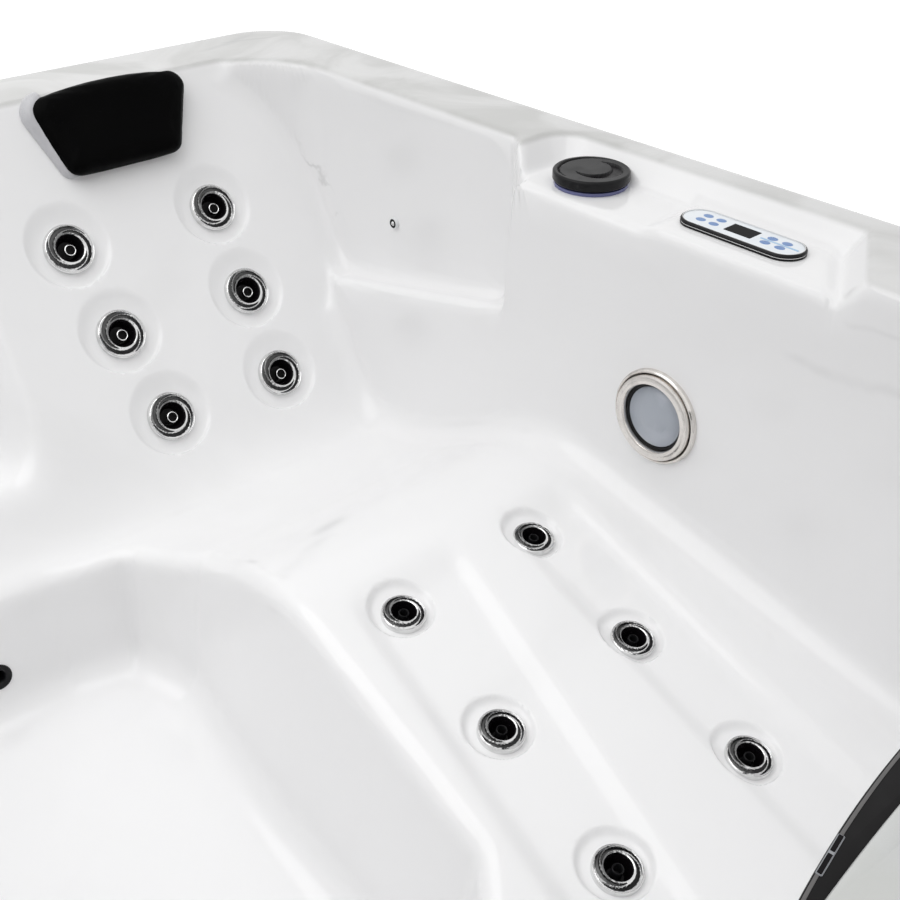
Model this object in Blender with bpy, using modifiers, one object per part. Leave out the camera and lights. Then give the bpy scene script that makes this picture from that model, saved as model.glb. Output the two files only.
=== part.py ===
"""Acrylic hot tub: a lounger tub with its jets, controls, filter, cabinet and pump.

Metres, +Z up. The origin is on the floor under the centre of the tub. +Y points to the
head end, where the lounger's backrest is, and +X to the wall that carries the controls.
The basin is one vacuum-formed skin: a height for each point of the plan, worked out from
pockets that are sunk one into another.
"""
import math

import bmesh
import bpy
import numpy as np
from mathutils import Matrix, Vector

# Driving sizes of the tub
TUB_LENGTH = 1.90
TUB_WIDTH = 1.50
RIM_HEIGHT = 0.80
RIM_CORNER_RADIUS = 0.10
RIM_EDGE_RADIUS = 0.016
SKIRT_HEIGHT = 0.050
SHELL_WALL = 0.009
GAP = 0.0003
OVERRUN = 0.004

# Decks: width of the rim from the outer edge to the basin
HEAD_DECK = 0.130
FOOT_DECK = 0.303
LEFT_DECK = 0.115
CONTROL_DECK = 0.153
RECESS_DECK = 0.102

# Basin walls
BASIN_CORNER_RADIUS = 0.15
WALL_DRAFT = math.radians(2.0)
BASIN_EDGE_RADIUS = 0.013
BASIN_FILLET_RADIUS = 0.045

# Upper recess beside the backrest, with its armrest ledge
RECESS_START = 0.743
RECESS_FOOT_RADIUS = 0.022
LEDGE_DEPTH = 0.212
LEDGE_SLOPE = math.tan(math.radians(13.5))
LEDGE_FILLET_RADIUS = 0.020

# Control plateau, and the raised pad under the panel
PLATEAU_DECK = 0.036
PLATEAU_START = 0.735
PLATEAU_END = 1.245
PLATEAU_DEPTH = 0.034
PLATEAU_DRAFT = math.radians(40.0)
PLATEAU_EDGE_RADIUS = 0.010
PAD_START = 0.955
PAD_END = 1.212
PAD_DECK = 0.052
PAD_HEIGHT = 0.008
PAD_EDGE = 0.014

# Lounger: backrest, seat, knee and leg rest
BACKREST_RECLINE = math.radians(33.0)
SEAT_DEPTH = 0.508
SEAT_BLEND = 0.070
KNEE_DISTANCE = 0.850
KNEE_DEPTH = 0.352
KNEE_FLANK = math.tan(math.radians(29.0))
KNEE_BLEND = 0.070
LEG_SLOPE = math.tan(math.radians(10.5))
LOUNGER_LEFT = 0.695
BACKREST_STEP = 0.034
LEFT_SEAT_RECLINE = math.radians(17.0)

# Channels in the leg rest, one along each row of jets
CHANNEL_DEPTH = 0.011
CHANNEL_HALF_WIDTH = 0.056
CHANNEL_LEAD = 0.060
CHANNEL_EDGE = 1.5

# Footwell: each corner by its distances from the nearest side and the nearest end
WELL_LEVEL = 0.125
WELL_DRAFT = math.radians(9.0)
WELL_EDGE_RADIUS = 0.026
WELL_FILLET_RADIUS = 0.050
WELL_CORNER_RADIUS = 0.035
WELL_KNEE = (0.597, 0.650)
WELL_SEAT_CORNER = (0.647, 0.508)
WELL_SEAT_MIDDLE = (0.820, 0.475)
WELL_SEAT_LEFT = (0.320, 0.455)
WELL_LEFT = (0.200, 0.560)
WELL_LEFT_FOOT = (0.200, 0.740)
WELL_FOOT_LEFT = (0.350, 0.590)
WELL_FOOT_RIGHT = (0.690, 0.590)
WELL_LOUNGER = (0.645, 0.650)

# Surface grid of the shell, and how far it is thinned
GRID_ACROSS = 150
GRID_ALONG = 190
SKIN_TRIANGLES = 2400
SPREAD_ROUNDS = 80
SPREAD_SHARE = 0.5
STEEPEST_WEIGHT = 6.0
NEIGHBOURS = ((slice(2, None), slice(1, -1)), (slice(None, -2), slice(1, -1)),
              (slice(1, -1), slice(2, None)), (slice(1, -1), slice(None, -2)))
BEND_POINTS = 5
TUBE_SIDES = 12
STRAIGHT = 1e-4
WELD_SHARE = 0.01
SEARCH_ROUNDS = 30

# Back jets: two rows of three, by their distances from the control side and the head end
BACK_JET_RADIUS = 0.038
BACK_JET_LEFT = 0.546
BACK_JET_RIGHT = 0.309
BACK_JET_TOP_DEPTH = 0.181
BACK_JET_STEP_DOWN = 0.1145
BACK_JET_TAPER = 0.022
# Leg jets: two rows of three
LEG_JET_RADIUS = 0.0275
LEG_JET_LEFT = 0.537
LEG_JET_RIGHT = 0.330
LEG_JET_FIRST_SHARE = 0.1673
LEG_JET_STEP_SHARE = 0.2383
LEG_JET_TAPER = 0.016
JETS_IN_ROW = 3

# Jet parts, for a jet of any face radius
JET_SEAT_SINK = 0.0035
JET_SEAT_MARGIN = 0.0035
JET_SEAT_FLARE = 0.006
JET_FACE_HEIGHT = 0.0070
JET_FACE_LIP = 0.0030
JET_THROAT_SHARE = 0.50
JET_SLEEVE_WALL = 0.0022
JET_SLEEVE_LENGTH = 0.022
JET_BODY_WALL = 0.0030
JET_BODY_LENGTH = 0.062
JET_BODY_FLANGE = 0.0020
JET_BODY_FLANGE_SHARE = 0.86
JET_CONE_DEPTH = 0.012
JET_RUNNING_GAP = 0.0006
JET_STEPS = 16

# Diverter knob and valve
DIVERTER_RADIUS = 0.0485
DIVERTER_HEIGHT = 0.019
DIVERTER_DECK = 0.100
DIVERTER_DISTANCE = 0.825
DIVERTER_COLLAR_RADIUS = 0.0465
DIVERTER_COLLAR_HEIGHT = 0.004
DIVERTER_NECK_RADIUS = 0.030
DIVERTER_STEM_RADIUS = 0.010
DIVERTER_BODY_RADIUS = 0.034
DIVERTER_BODY_LENGTH = 0.135
DIVERTER_PORT_DEPTH = 0.066
DIVERTER_DRIVE_HEIGHT = 0.004
DIVERTER_CLEARANCE = 0.0025
DIVERTER_STEPS = 24

# Control panel
PANEL_LENGTH = 0.160
PANEL_WIDTH = 0.050
PANEL_DECK = 0.112
PANEL_DISTANCE = 1.062
PANEL_BEZEL_HEIGHT = 0.0065
PANEL_BEZEL_RIM = 0.0022
PANEL_RECESS_DEPTH = 0.0014
PANEL_BOX_LENGTH = 0.108
PANEL_BOX_WIDTH = 0.032
PANEL_BOX_DEPTH = 0.036
PANEL_OVERLAY_THICKNESS = 0.0010
PANEL_END_STEPS = 8

# Underwater light
LIGHT_RADIUS = 0.0615
LIGHT_DISTANCE = 1.020
LIGHT_DEPTH = 0.255
LIGHT_BEZEL_HEIGHT = 0.014
LIGHT_LENS_RADIUS = 0.042
LIGHT_LENS_THICKNESS = 0.004
LIGHT_NECK_RADIUS = 0.046
LIGHT_HOUSING_LENGTH = 0.060
LIGHT_HOUSING_WALL = 0.003

# Temperature sensor, return and suction fittings
SENSOR_RADIUS = 0.0080
SENSOR_LENGTH = 0.030
SENSOR_SINK = 0.0015
SENSOR_DISTANCE = 0.459
SENSOR_DEPTH = 0.193
RETURN_RADIUS = 0.019
RETURN_TAIL_RADIUS = 0.011
RETURN_HEIGHT = 0.006
RETURN_LENGTH = 0.045
RETURN_DECK = 0.865
RETURN_RISE = 0.058
SUCTION_RADIUS = 0.050
SUCTION_RISE = 0.115
SUCTION_DOME = 0.018
SUCTION_COVER_WALL = 0.003

# Pillow
PILLOW_TOP_WIDTH = 0.262
PILLOW_BOTTOM_WIDTH = 0.190
PILLOW_LENGTH = 0.128
PILLOW_THICKNESS = 0.026
PILLOW_BACKING = 0.010
PILLOW_SINK = 0.0015
PILLOW_DECK = 0.408
PILLOW_TOP_DEPTH = 0.004
PILLOW_CORNER = 0.026
PILLOW_CORNER_STEPS = 4
PILLOW_PEG_RADIUS = 0.006
PILLOW_PEG_LENGTH = 0.020
PILLOW_PEG_SPACING = 0.110
PILLOW_FORM_SHARES = ((0.93, 0.0), (1.0, 0.28), (0.985, 0.55), (0.93, 0.80), (0.80, 0.93), (0.45, 1.0))

# Skimmer and filter
SKIMMER_DECK = 0.600
SKIMMER_WIDTH = 0.400
SKIMMER_BOW = 0.024
SKIMMER_FRONT = 0.0024
SKIMMER_FACE_HEIGHT = 0.170
SKIMMER_ARC_STEPS = 12
MOUTH_WIDTH = 0.250
MOUTH_HEIGHT = 0.094
MOUTH_DROP = 0.030
BUCKET_LENGTH = 0.185
BUCKET_DEPTH = 0.330
BUCKET_WALL = 0.004
BUCKET_SETBACK = 0.0030
LID_THICKNESS = 0.012
LID_SINK = 0.003
LID_SIDE = 0.0045
LID_SWING = 0.004
LID_PIN_RADIUS = 0.003
LID_PIN_INSET = 0.006
PIN_REACH = 0.003
WEIR_THICKNESS = 0.008
WEIR_CLEARANCE = 0.003
CARTRIDGE_RADIUS = 0.068
CARTRIDGE_LENGTH = 0.190
CARTRIDGE_BORE = 0.024

# Cabinet, frame and base
PAN_THICKNESS = 0.030
PLINTH_WIDTH = 0.380
PLINTH_LENGTH = 0.420
CABINET_WALL = 0.012
CABINET_INSET = 0.011
POST_REACH = 0.130
POST_ARC_STEPS = 6
RAIL_WIDTH = 0.030
RAIL_HEIGHT = 0.040
RAIL_DEPTH = 0.085
RAIL_INSET = 0.010
FRAME_CHAMFER = 0.032
FRAME_LEG_WIDTH = 0.040

# Pump, heater, control box and pipes
PIPE_RADIUS = 0.022
MANIFOLD_RADIUS = 0.016
PIPE_BEND = 0.035
PIPE_LEAD = 0.045
MANIFOLD_BEND = 0.0195
MANIFOLD_LEAD = 0.026
MANIFOLD_END = 0.045
MOTOR_RADIUS = 0.075
MOTOR_LENGTH = 0.250
MOTOR_FOOT_WIDTH = 0.090
WET_END_RADIUS = 0.082
WET_END_LENGTH = 0.110
WET_END_STUB = 0.030
PUMP_INSET = 0.135
PUMP_DECK = 0.560
PUMP_RISE = 0.025
PUMP_STEPS = 20
HEATER_RADIUS = 0.032
HEATER_LENGTH = 0.300
PACK_DECK = 0.270
PACK_INSET = 0.105
BOX_LENGTH = 0.260
BOX_WIDTH = 0.100
BOX_HEIGHT = 0.200
SERVICE_LEVEL = 0.285
BACK_PIPE_LEVEL = 0.280
DRAIN_RADIUS = 0.014
DRAIN_FLANGE = 0.022
DRAIN_HEIGHT = 0.125
DRAIN_DECK = 0.450
DRAIN_LENGTH = 0.036
DRAIN_WALL = 0.004

# Places worked out from the sizes
HALF_LENGTH = TUB_LENGTH / 2
HALF_WIDTH = TUB_WIDTH / 2
PLATEAU_LEVEL = RIM_HEIGHT - PLATEAU_DEPTH
PAD_LEVEL = PLATEAU_LEVEL + PAD_HEIGHT
WELL_DEPTH = RIM_HEIGHT - WELL_LEVEL
LEG_REST = TUB_LENGTH - FOOT_DECK - KNEE_DISTANCE
LEG_JET_FIRST = KNEE_DISTANCE + LEG_REST * LEG_JET_FIRST_SHARE
LEG_JET_STEP = LEG_REST * LEG_JET_STEP_SHARE
LEDGE_STEP = (LEDGE_DEPTH - PLATEAU_DEPTH) * math.tan(WALL_DRAFT)
UP = Vector((0, 0, 1))

COLOURS = {
    "acrylic": ((0.86, 0.87, 0.88), 0.12, 0.0),
    "steel": ((0.72, 0.72, 0.73), 0.15, 1.0),
    "black_plastic": ((0.02, 0.02, 0.022), 0.35, 0.0),
    "grey_plastic": ((0.35, 0.36, 0.38), 0.40, 0.0),
    "white_plastic": ((0.80, 0.81, 0.82), 0.30, 0.0),
    "overlay": ((0.82, 0.86, 0.92), 0.25, 0.0),
    "lens": ((0.62, 0.66, 0.70), 0.30, 0.0),
    "cushion": ((0.015, 0.015, 0.017), 0.45, 0.0),
    "paper": ((0.85, 0.85, 0.80), 0.80, 0.0),
    "cabinet": ((0.20, 0.20, 0.21), 0.55, 0.0),
    "timber": ((0.62, 0.48, 0.30), 0.70, 0.0),
    "motor": ((0.05, 0.06, 0.08), 0.40, 0.3),
}


def side_x(distance):
    """X at a distance in from the control side."""
    return HALF_WIDTH - distance


def head_y(distance):
    """Y at a distance in from the head end."""
    return HALF_LENGTH - distance


def clear_scene():
    for item in list(bpy.data.objects):
        bpy.data.objects.remove(item, do_unlink=True)


def make_collection(name):
    group = bpy.data.collections.new(name)
    bpy.context.scene.collection.children.link(group)
    return group


def make_material(name):
    colour, roughness, metallic = COLOURS[name]
    material = bpy.data.materials.new(name)
    material.use_nodes = True
    shader = material.node_tree.nodes["Principled BSDF"]
    shader.inputs["Base Color"].default_value = (*colour, 1.0)
    shader.inputs["Roughness"].default_value = roughness
    shader.inputs["Metallic"].default_value = metallic
    return material


clear_scene()
TUB = make_collection("acrylic_hot_tub")
CUTTERS = make_collection("cutters")
MATERIALS = {name: make_material(name) for name in COLOURS}


# Heights of the basin

def smooth_min(a, b, width):
    share = np.clip(0.5 + 0.5 * (b - a) / width, 0.0, 1.0)
    return b + (a - b) * share - width * share * (1.0 - share)


def smooth_max(a, b, width):
    return -smooth_min(-a, -b, width)


def smooth_step(value):
    share = np.clip(value, 0.0, 1.0)
    return share * share * (3.0 - 2.0 * share)


def inside_box(x, y, low, high, radii):
    """Distance in from a rounded rectangle; radii are for -X-Y, +X-Y, +X+Y and -X+Y."""
    dx = x - (low[0] + high[0]) / 2
    dy = y - (low[1] + high[1]) / 2
    foot = np.where(dx > 0, radii[1], radii[0])
    head = np.where(dx > 0, radii[2], radii[3])
    radius = np.where(dy > 0, head, foot)
    qx = np.abs(dx) - (high[0] - low[0]) / 2 + radius
    qy = np.abs(dy) - (high[1] - low[1]) / 2 + radius
    outside = np.hypot(np.maximum(qx, 0), np.maximum(qy, 0))
    return radius - outside - np.minimum(np.maximum(qx, qy), 0)


def inset_corners(corners, distance):
    """Corners of a convex outline, counter-clockwise, moved in by a distance."""
    result = []
    for index, corner in enumerate(corners):
        before = Vector(corners[index - 1])
        here = Vector(corner)
        after = Vector(corners[(index + 1) % len(corners)])
        first = (here - before).normalized()
        second = (after - here).normalized()
        bisector = (Vector((-first.y, first.x)) + Vector((-second.y, second.x))).normalized()
        result.append(here + bisector * (distance / bisector.dot(Vector((-first.y, first.x)))))
    return result


def inside_outline(x, y, corners, radius):
    """Distance in from a convex outline, counter-clockwise, with rounded corners."""
    inner = inset_corners(corners, radius)
    nearest = np.full(np.shape(x), np.inf)
    least = np.full(np.shape(x), np.inf)
    for index, start in enumerate(inner):
        edge = inner[(index + 1) % len(inner)] - start
        px, py = x - start.x, y - start.y
        share = np.clip((px * edge.x + py * edge.y) / edge.length_squared, 0.0, 1.0)
        nearest = np.minimum(nearest, np.hypot(px - share * edge.x, py - share * edge.y))
        least = np.minimum(least, (py * edge.x - px * edge.y) / edge.length)
    return radius + np.where(least > 0, nearest, -nearest)


def wall_drop(inside, depth, draft, edge_radius, fillet_radius):
    """Drop below a pocket's edge: a rounded edge, a drafted wall and a fillet to the floor."""
    steep = math.pi / 2 - draft
    reach = math.sin(steep)
    drop = 1.0 - math.cos(steep)
    share = np.clip(depth / ((edge_radius + fillet_radius) * drop), 0.0, 1.0)
    edge = edge_radius * share
    fillet = fillet_radius * share
    straight = np.maximum(depth - (edge + fillet) * drop, 0.0)
    wall_start = edge * reach
    wall_end = wall_start + straight / math.tan(steep)
    floor_start = wall_end + fillet * reach
    d = np.maximum(inside, 0.0)
    rounding = edge - np.sqrt(np.maximum(edge**2 - d**2, 0.0))
    wall = edge * drop + (d - wall_start) * math.tan(steep)
    toe = np.clip(floor_start - d, 0.0, fillet)
    hollow = depth - fillet + np.sqrt(np.maximum(fillet**2 - toe**2, 0.0))
    result = np.where(d < wall_start, rounding, np.where(d < wall_end, wall, hollow))
    return np.where(d >= floor_start, depth, result)


def sink(z, inside, floor, draft, edge_radius, fillet_radius):
    depth = np.maximum(z - floor, 0.0)
    return z - wall_drop(inside, depth, draft, edge_radius, fillet_radius)


def backrest_height(x, y):
    """Reclined backs: the lounger's, and the steeper one of the seat on its left."""
    top = head_y(HEAD_DECK)
    lounger = RIM_HEIGHT - (top - y) / math.tan(BACKREST_RECLINE)
    left_seat = RIM_HEIGHT - (top - y) / math.tan(LEFT_SEAT_RECLINE)
    share = smooth_step((x - side_x(LOUNGER_LEFT)) / BACKREST_STEP + 0.5)
    return left_seat + (lounger - left_seat) * share


def channel_drop(x, y):
    """Shallow channels along the rows of leg jets, closed at the knee."""
    along = head_y(LEG_JET_FIRST) - y
    lead = smooth_step((along + CHANNEL_LEAD) / CHANNEL_LEAD)
    total = 0.0
    for start in (LEG_JET_LEFT, LEG_JET_RIGHT):
        centre = side_x(start) - along * LEG_JET_TAPER / LEG_JET_STEP
        across = np.abs(x - centre) / CHANNEL_HALF_WIDTH
        total = total + smooth_step(CHANNEL_EDGE - across)
    return CHANNEL_DEPTH * lead * np.minimum(total, 1.0)


def leg_height(x, y):
    knee_y = head_y(KNEE_DISTANCE)
    knee = RIM_HEIGHT - KNEE_DEPTH
    leg = knee - (knee_y - y) * LEG_SLOPE
    flank = knee - (y - knee_y) * KNEE_FLANK
    return smooth_min(leg, flank, KNEE_BLEND) - channel_drop(x, y)


def seat_floor(x, y):
    seat = RIM_HEIGHT - SEAT_DEPTH
    lower = smooth_max(leg_height(x, y), seat, SEAT_BLEND)
    return smooth_max(lower, backrest_height(x, y), SEAT_BLEND)


def basin_outline():
    """Plan corners of the basin, and its corner radii."""
    low = (-HALF_WIDTH + LEFT_DECK, -HALF_LENGTH + FOOT_DECK)
    high = (side_x(CONTROL_DECK), head_y(HEAD_DECK))
    return low, high, (BASIN_CORNER_RADIUS,) * 4


def recess_outline():
    low = (side_x(LOUNGER_LEFT), head_y(RECESS_START))
    high = (side_x(RECESS_DECK), head_y(HEAD_DECK))
    foot = RECESS_FOOT_RADIUS
    return low, high, (foot, foot, BASIN_CORNER_RADIUS, BASIN_CORNER_RADIUS)


def plateau_outline():
    low = (side_x(CONTROL_DECK) - BASIN_FILLET_RADIUS, head_y(PLATEAU_END))
    high = (side_x(PLATEAU_DECK), head_y(PLATEAU_START))
    return low, high, (PLATEAU_EDGE_RADIUS,) * 4


def pad_outline():
    low = (side_x(CONTROL_DECK) - BASIN_FILLET_RADIUS, head_y(PAD_END))
    high = (side_x(PAD_DECK), head_y(PAD_START))
    return low, high, (PLATEAU_EDGE_RADIUS,) * 4


def well_outline():
    """The footwell's corners, counter-clockwise from the knee."""
    corners = []
    for places, right, head in (((WELL_KNEE, WELL_SEAT_CORNER, WELL_SEAT_MIDDLE), 1, 1),
                                ((WELL_SEAT_LEFT, WELL_LEFT), -1, 1),
                                ((WELL_LEFT_FOOT, WELL_FOOT_LEFT), -1, -1),
                                ((WELL_FOOT_RIGHT, WELL_LOUNGER), 1, -1)):
        corners += [(right * side_x(across), head * head_y(along)) for across, along in places]
    return corners


def tub_inside(x, y):
    low = (-HALF_WIDTH, -HALF_LENGTH)
    high = (HALF_WIDTH, HALF_LENGTH)
    return inside_box(x, y, low, high, (RIM_CORNER_RADIUS,) * 4)


def basin_height(x, y):
    """Height of the tub's wet surface and its rim over a point of the plan."""
    near = np.clip(RIM_EDGE_RADIUS - tub_inside(x, y), 0.0, RIM_EDGE_RADIUS)
    z = RIM_HEIGHT - RIM_EDGE_RADIUS + np.sqrt(RIM_EDGE_RADIUS**2 - near**2)
    z = sink(z, inside_box(x, y, *plateau_outline()), PLATEAU_LEVEL, PLATEAU_DRAFT,
             PLATEAU_EDGE_RADIUS, PLATEAU_EDGE_RADIUS)
    pad = smooth_step(inside_box(x, y, *pad_outline()) / PAD_EDGE)
    z = z + PAD_HEIGHT * pad
    ledge = RIM_HEIGHT - LEDGE_DEPTH - (y - head_y(RECESS_START)) * LEDGE_SLOPE
    recess = smooth_max(ledge, backrest_height(x, y), BASIN_FILLET_RADIUS)
    z = sink(z, inside_box(x, y, *recess_outline()), recess, WALL_DRAFT,
             BASIN_EDGE_RADIUS, LEDGE_FILLET_RADIUS)
    inward = np.where(y > head_y(RECESS_START) + RECESS_FOOT_RADIUS, LEDGE_STEP, 0.0)
    z = sink(z, inside_box(x + inward, y, *basin_outline()), seat_floor(x, y), WALL_DRAFT,
             BASIN_EDGE_RADIUS, BASIN_FILLET_RADIUS)
    return sink(z, inside_outline(x, y, well_outline(), WELL_CORNER_RADIUS),
                WELL_LEVEL, WELL_DRAFT, WELL_EDGE_RADIUS, WELL_FILLET_RADIUS)


# Mesh helpers

def add_object(name, mesh, material, group=None):
    item = bpy.data.objects.new(name, mesh)
    (group or TUB).objects.link(item)
    if material:
        mesh.materials.append(MATERIALS[material])
    return item


def mesh_from(bm, name):
    bmesh.ops.recalc_face_normals(bm, faces=bm.faces)
    mesh = bpy.data.meshes.new(name)
    bm.to_mesh(mesh)
    bm.free()
    return mesh


def smooth_shade(mesh, angle=math.radians(35)):
    mesh.shade_smooth()
    mesh.set_sharp_from_angle(angle=angle)
    return mesh


def even_shading(item):
    """Large faces set the shading where a cut leaves long thin ones."""
    item.modifiers.new("shading", "WEIGHTED_NORMAL")


def box_mesh(name, low, high, bevel=0.0):
    low, high = Vector(low), Vector(high)
    bm = bmesh.new()
    bmesh.ops.create_cube(bm, size=1.0)
    bmesh.ops.scale(bm, vec=high - low, verts=bm.verts)
    bmesh.ops.translate(bm, vec=(low + high) / 2, verts=bm.verts)
    if bevel:
        bmesh.ops.bevel(bm, geom=bm.edges[:], offset=bevel, segments=1, affect="EDGES")
    return mesh_from(bm, name)


def add_box(name, low, high, material, bevel=0.0, group=None):
    return add_object(name, box_mesh(name, low, high, bevel), material, group)


def prism_mesh(name, outline, low, high):
    """A flat outline, counter-clockwise, raised from one height to another."""
    bm = bmesh.new()
    corners = [bm.verts.new((px, py, low)) for px, py in outline]
    face = bm.faces.new(corners)
    raised = bmesh.ops.extrude_face_region(bm, geom=[face])
    moved = [item for item in raised["geom"] if isinstance(item, bmesh.types.BMVert)]
    bmesh.ops.translate(bm, vec=(0, 0, high - low), verts=moved)
    return mesh_from(bm, name)


def turned_mesh(name, profile, steps):
    """A closed profile of (radius, height) points, turned round Z."""
    bm = bmesh.new()
    points = [bm.verts.new((radius, 0, height)) for radius, height in profile]
    edges = [bm.edges.new((before, point)) for before, point in zip(points, points[1:] + points[:1])
             if before.co.x > 0 or point.co.x > 0]
    bmesh.ops.spin(bm, geom=points + edges, cent=(0, 0, 0), axis=(0, 0, 1),
                   angle=2 * math.pi, steps=steps, use_merge=True)
    smallest = min(abs(a[1] - b[1]) + abs(a[0] - b[0]) for a, b in zip(profile, profile[1:]))
    bmesh.ops.remove_doubles(bm, verts=bm.verts, dist=smallest * WELD_SHARE)
    return smooth_shade(mesh_from(bm, name))


def aim(place, axis, roll=0.0):
    """Matrix that puts local +Z along an axis at a place."""
    turn = Vector(axis).normalized().to_track_quat("Z", "Y").to_matrix().to_4x4()
    return Matrix.Translation(place) @ turn @ Matrix.Rotation(roll, 4, "Z")


def add_turned(name, profile, steps, material, place, axis=UP, group=None, roll=0.0):
    item = add_object(name, turned_mesh(name, profile, steps), material, group)
    item.matrix_world = aim(place, axis, roll)
    return item


def add_cylinder_cutter(name, radius, low, high, steps, place, axis=UP):
    profile = [(0, low), (radius, low), (radius, high), (0, high)]
    return mark_cutter(add_turned(name, profile, steps, None, place, axis, CUTTERS))


def mark_cutter(item):
    item.hide_render = True
    item.display_type = "WIRE"
    return item


def cut(target, cutter, operation="DIFFERENCE"):
    change = target.modifiers.new(cutter.name, "BOOLEAN")
    change.operation = operation
    change.solver = "EXACT"
    change.object = cutter


def add_tube(name, points, radius, material):
    """A closed pipe whose round section is carried along the points."""
    bm = bmesh.new()
    heading = (points[1] - points[0]).normalized()
    across = heading.orthogonal().normalized()
    rings = []
    for index, point in enumerate(points):
        before = (point - points[index - 1]).normalized() if index else heading
        after = (points[index + 1] - point).normalized() if point is not points[-1] else before
        ahead = (before + after).normalized()
        across = (across - ahead * across.dot(ahead)).normalized()
        side = ahead.cross(across)
        stretch = 1.0 / max(ahead.dot(after), STRAIGHT)
        turn = before.cross(after)
        ring = []
        for step in range(TUBE_SIDES):
            angle = 2 * math.pi * step / TUBE_SIDES
            spoke = across * math.cos(angle) + side * math.sin(angle)
            if turn.length > STRAIGHT:
                bend = turn.normalized().cross(ahead)
                spoke += bend * (spoke.dot(bend) * (stretch - 1.0))
            ring.append(bm.verts.new(point + spoke * radius))
        rings.append(ring)
    for low, high in zip(rings, rings[1:]):
        for step in range(TUBE_SIDES):
            after = (step + 1) % TUBE_SIDES
            bm.faces.new((low[step], low[after], high[after], high[step]))
    bm.faces.new(rings[0][::-1])
    bm.faces.new(rings[-1])
    return add_object(name, smooth_shade(mesh_from(bm, name), math.radians(60)), material)


def round_route(corners, radius):
    """Points along straight runs whose corners are rounded by arcs."""
    corners = [Vector(corner) for corner in corners]
    points = [corners[0]]
    for before, here, after in zip(corners, corners[1:], corners[2:]):
        back = (before - here).normalized()
        ahead = (after - here).normalized()
        half = back.angle(ahead) / 2
        reach = radius / math.tan(half)
        centre = here + (back + ahead).normalized() * (radius / math.sin(half))
        first = here + back * reach - centre
        last = here + ahead * reach - centre
        for index in range(BEND_POINTS):
            spoke = first.slerp(last, index / (BEND_POINTS - 1)).normalized()
            points.append(centre + spoke * radius)
    return points + [corners[-1]]


# Shell

def round_corner(across, along):
    """Plan position for a place on the square grid: each corner becomes a quarter disc."""
    x, y = across * HALF_WIDTH, along * HALF_LENGTH
    a = (np.abs(x) - HALF_WIDTH) / RIM_CORNER_RADIUS + 1.0
    b = (np.abs(y) - HALF_LENGTH) / RIM_CORNER_RADIUS + 1.0
    corner = (a > 0) & (b > 0)
    squeezed_a = a * np.sqrt(np.maximum(1.0 - b**2 / 2, 0.0))
    squeezed_b = b * np.sqrt(np.maximum(1.0 - a**2 / 2, 0.0))
    round_x = np.sign(x) * (HALF_WIDTH + RIM_CORNER_RADIUS * (squeezed_a - 1.0))
    round_y = np.sign(y) * (HALF_LENGTH + RIM_CORNER_RADIUS * (squeezed_b - 1.0))
    return np.where(corner, round_x, x), np.where(corner, round_y, y)


def spread_plan(x, y, rounds):
    """Slide grid points in plan towards steep walls, so that the walls get their share."""
    for _ in range(rounds):
        z = basin_height(x, y)
        sums = np.zeros((2,) + x[1:-1, 1:-1].shape)
        weights = np.zeros(x[1:-1, 1:-1].shape)
        for rows, columns in NEIGHBOURS:
            near_x, near_y, near_z = x[rows, columns], y[rows, columns], z[rows, columns]
            flat = np.hypot(near_x - x[1:-1, 1:-1], near_y - y[1:-1, 1:-1])
            rise = (near_z - z[1:-1, 1:-1]) / flat
            weight = np.minimum(np.sqrt(1.0 + rise**2), STEEPEST_WEIGHT)
            sums += weight * np.array((near_x, near_y))
            weights += weight
        x[1:-1, 1:-1] += SPREAD_SHARE * (sums[0] / weights - x[1:-1, 1:-1])
        y[1:-1, 1:-1] += SPREAD_SHARE * (sums[1] / weights - y[1:-1, 1:-1])
    return x, y


def add_shell():
    bm = bmesh.new()
    bmesh.ops.create_grid(bm, x_segments=GRID_ACROSS, y_segments=GRID_ALONG, size=1.0)
    bm.verts.ensure_lookup_table()
    shape = (GRID_ALONG + 1, GRID_ACROSS + 1)
    places = np.array([vert.co.xy for vert in bm.verts]).reshape(*shape, 2)
    x, y = round_corner(places[..., 0], places[..., 1])
    x, y = spread_plan(x, y, SPREAD_ROUNDS)
    z = basin_height(x, y)
    for vert, place in zip(bm.verts, np.stack((x, y, z), -1).reshape(-1, 3)):
        vert.co = place
    rim = [edge for edge in bm.edges if edge.is_boundary]
    skirt = bmesh.ops.extrude_edge_only(bm, edges=rim)
    drop = RIM_EDGE_RADIUS - SKIRT_HEIGHT
    lowered = [item for item in skirt["geom"] if isinstance(item, bmesh.types.BMVert)]
    bmesh.ops.translate(bm, vec=(0, 0, drop), verts=lowered)
    mesh = mesh_from(bm, "shell")
    if mesh.polygons[len(mesh.polygons) // 2].normal.z < 0:
        mesh.flip_normals()
    mesh.shade_smooth()
    shell = add_object("shell", mesh, "acrylic")
    thin = shell.modifiers.new("thin", "DECIMATE")
    thin.ratio = SKIN_TRIANGLES / (2 * len(mesh.polygons))
    thick = shell.modifiers.new("wall", "SOLIDIFY")
    thick.thickness = SHELL_WALL
    thick.offset = -1.0
    return shell


SHELL = add_shell()


def surface_point(x, y):
    return Vector((x, y, float(basin_height(np.array([x]), np.array([y]))[0])))


# Jets

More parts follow.
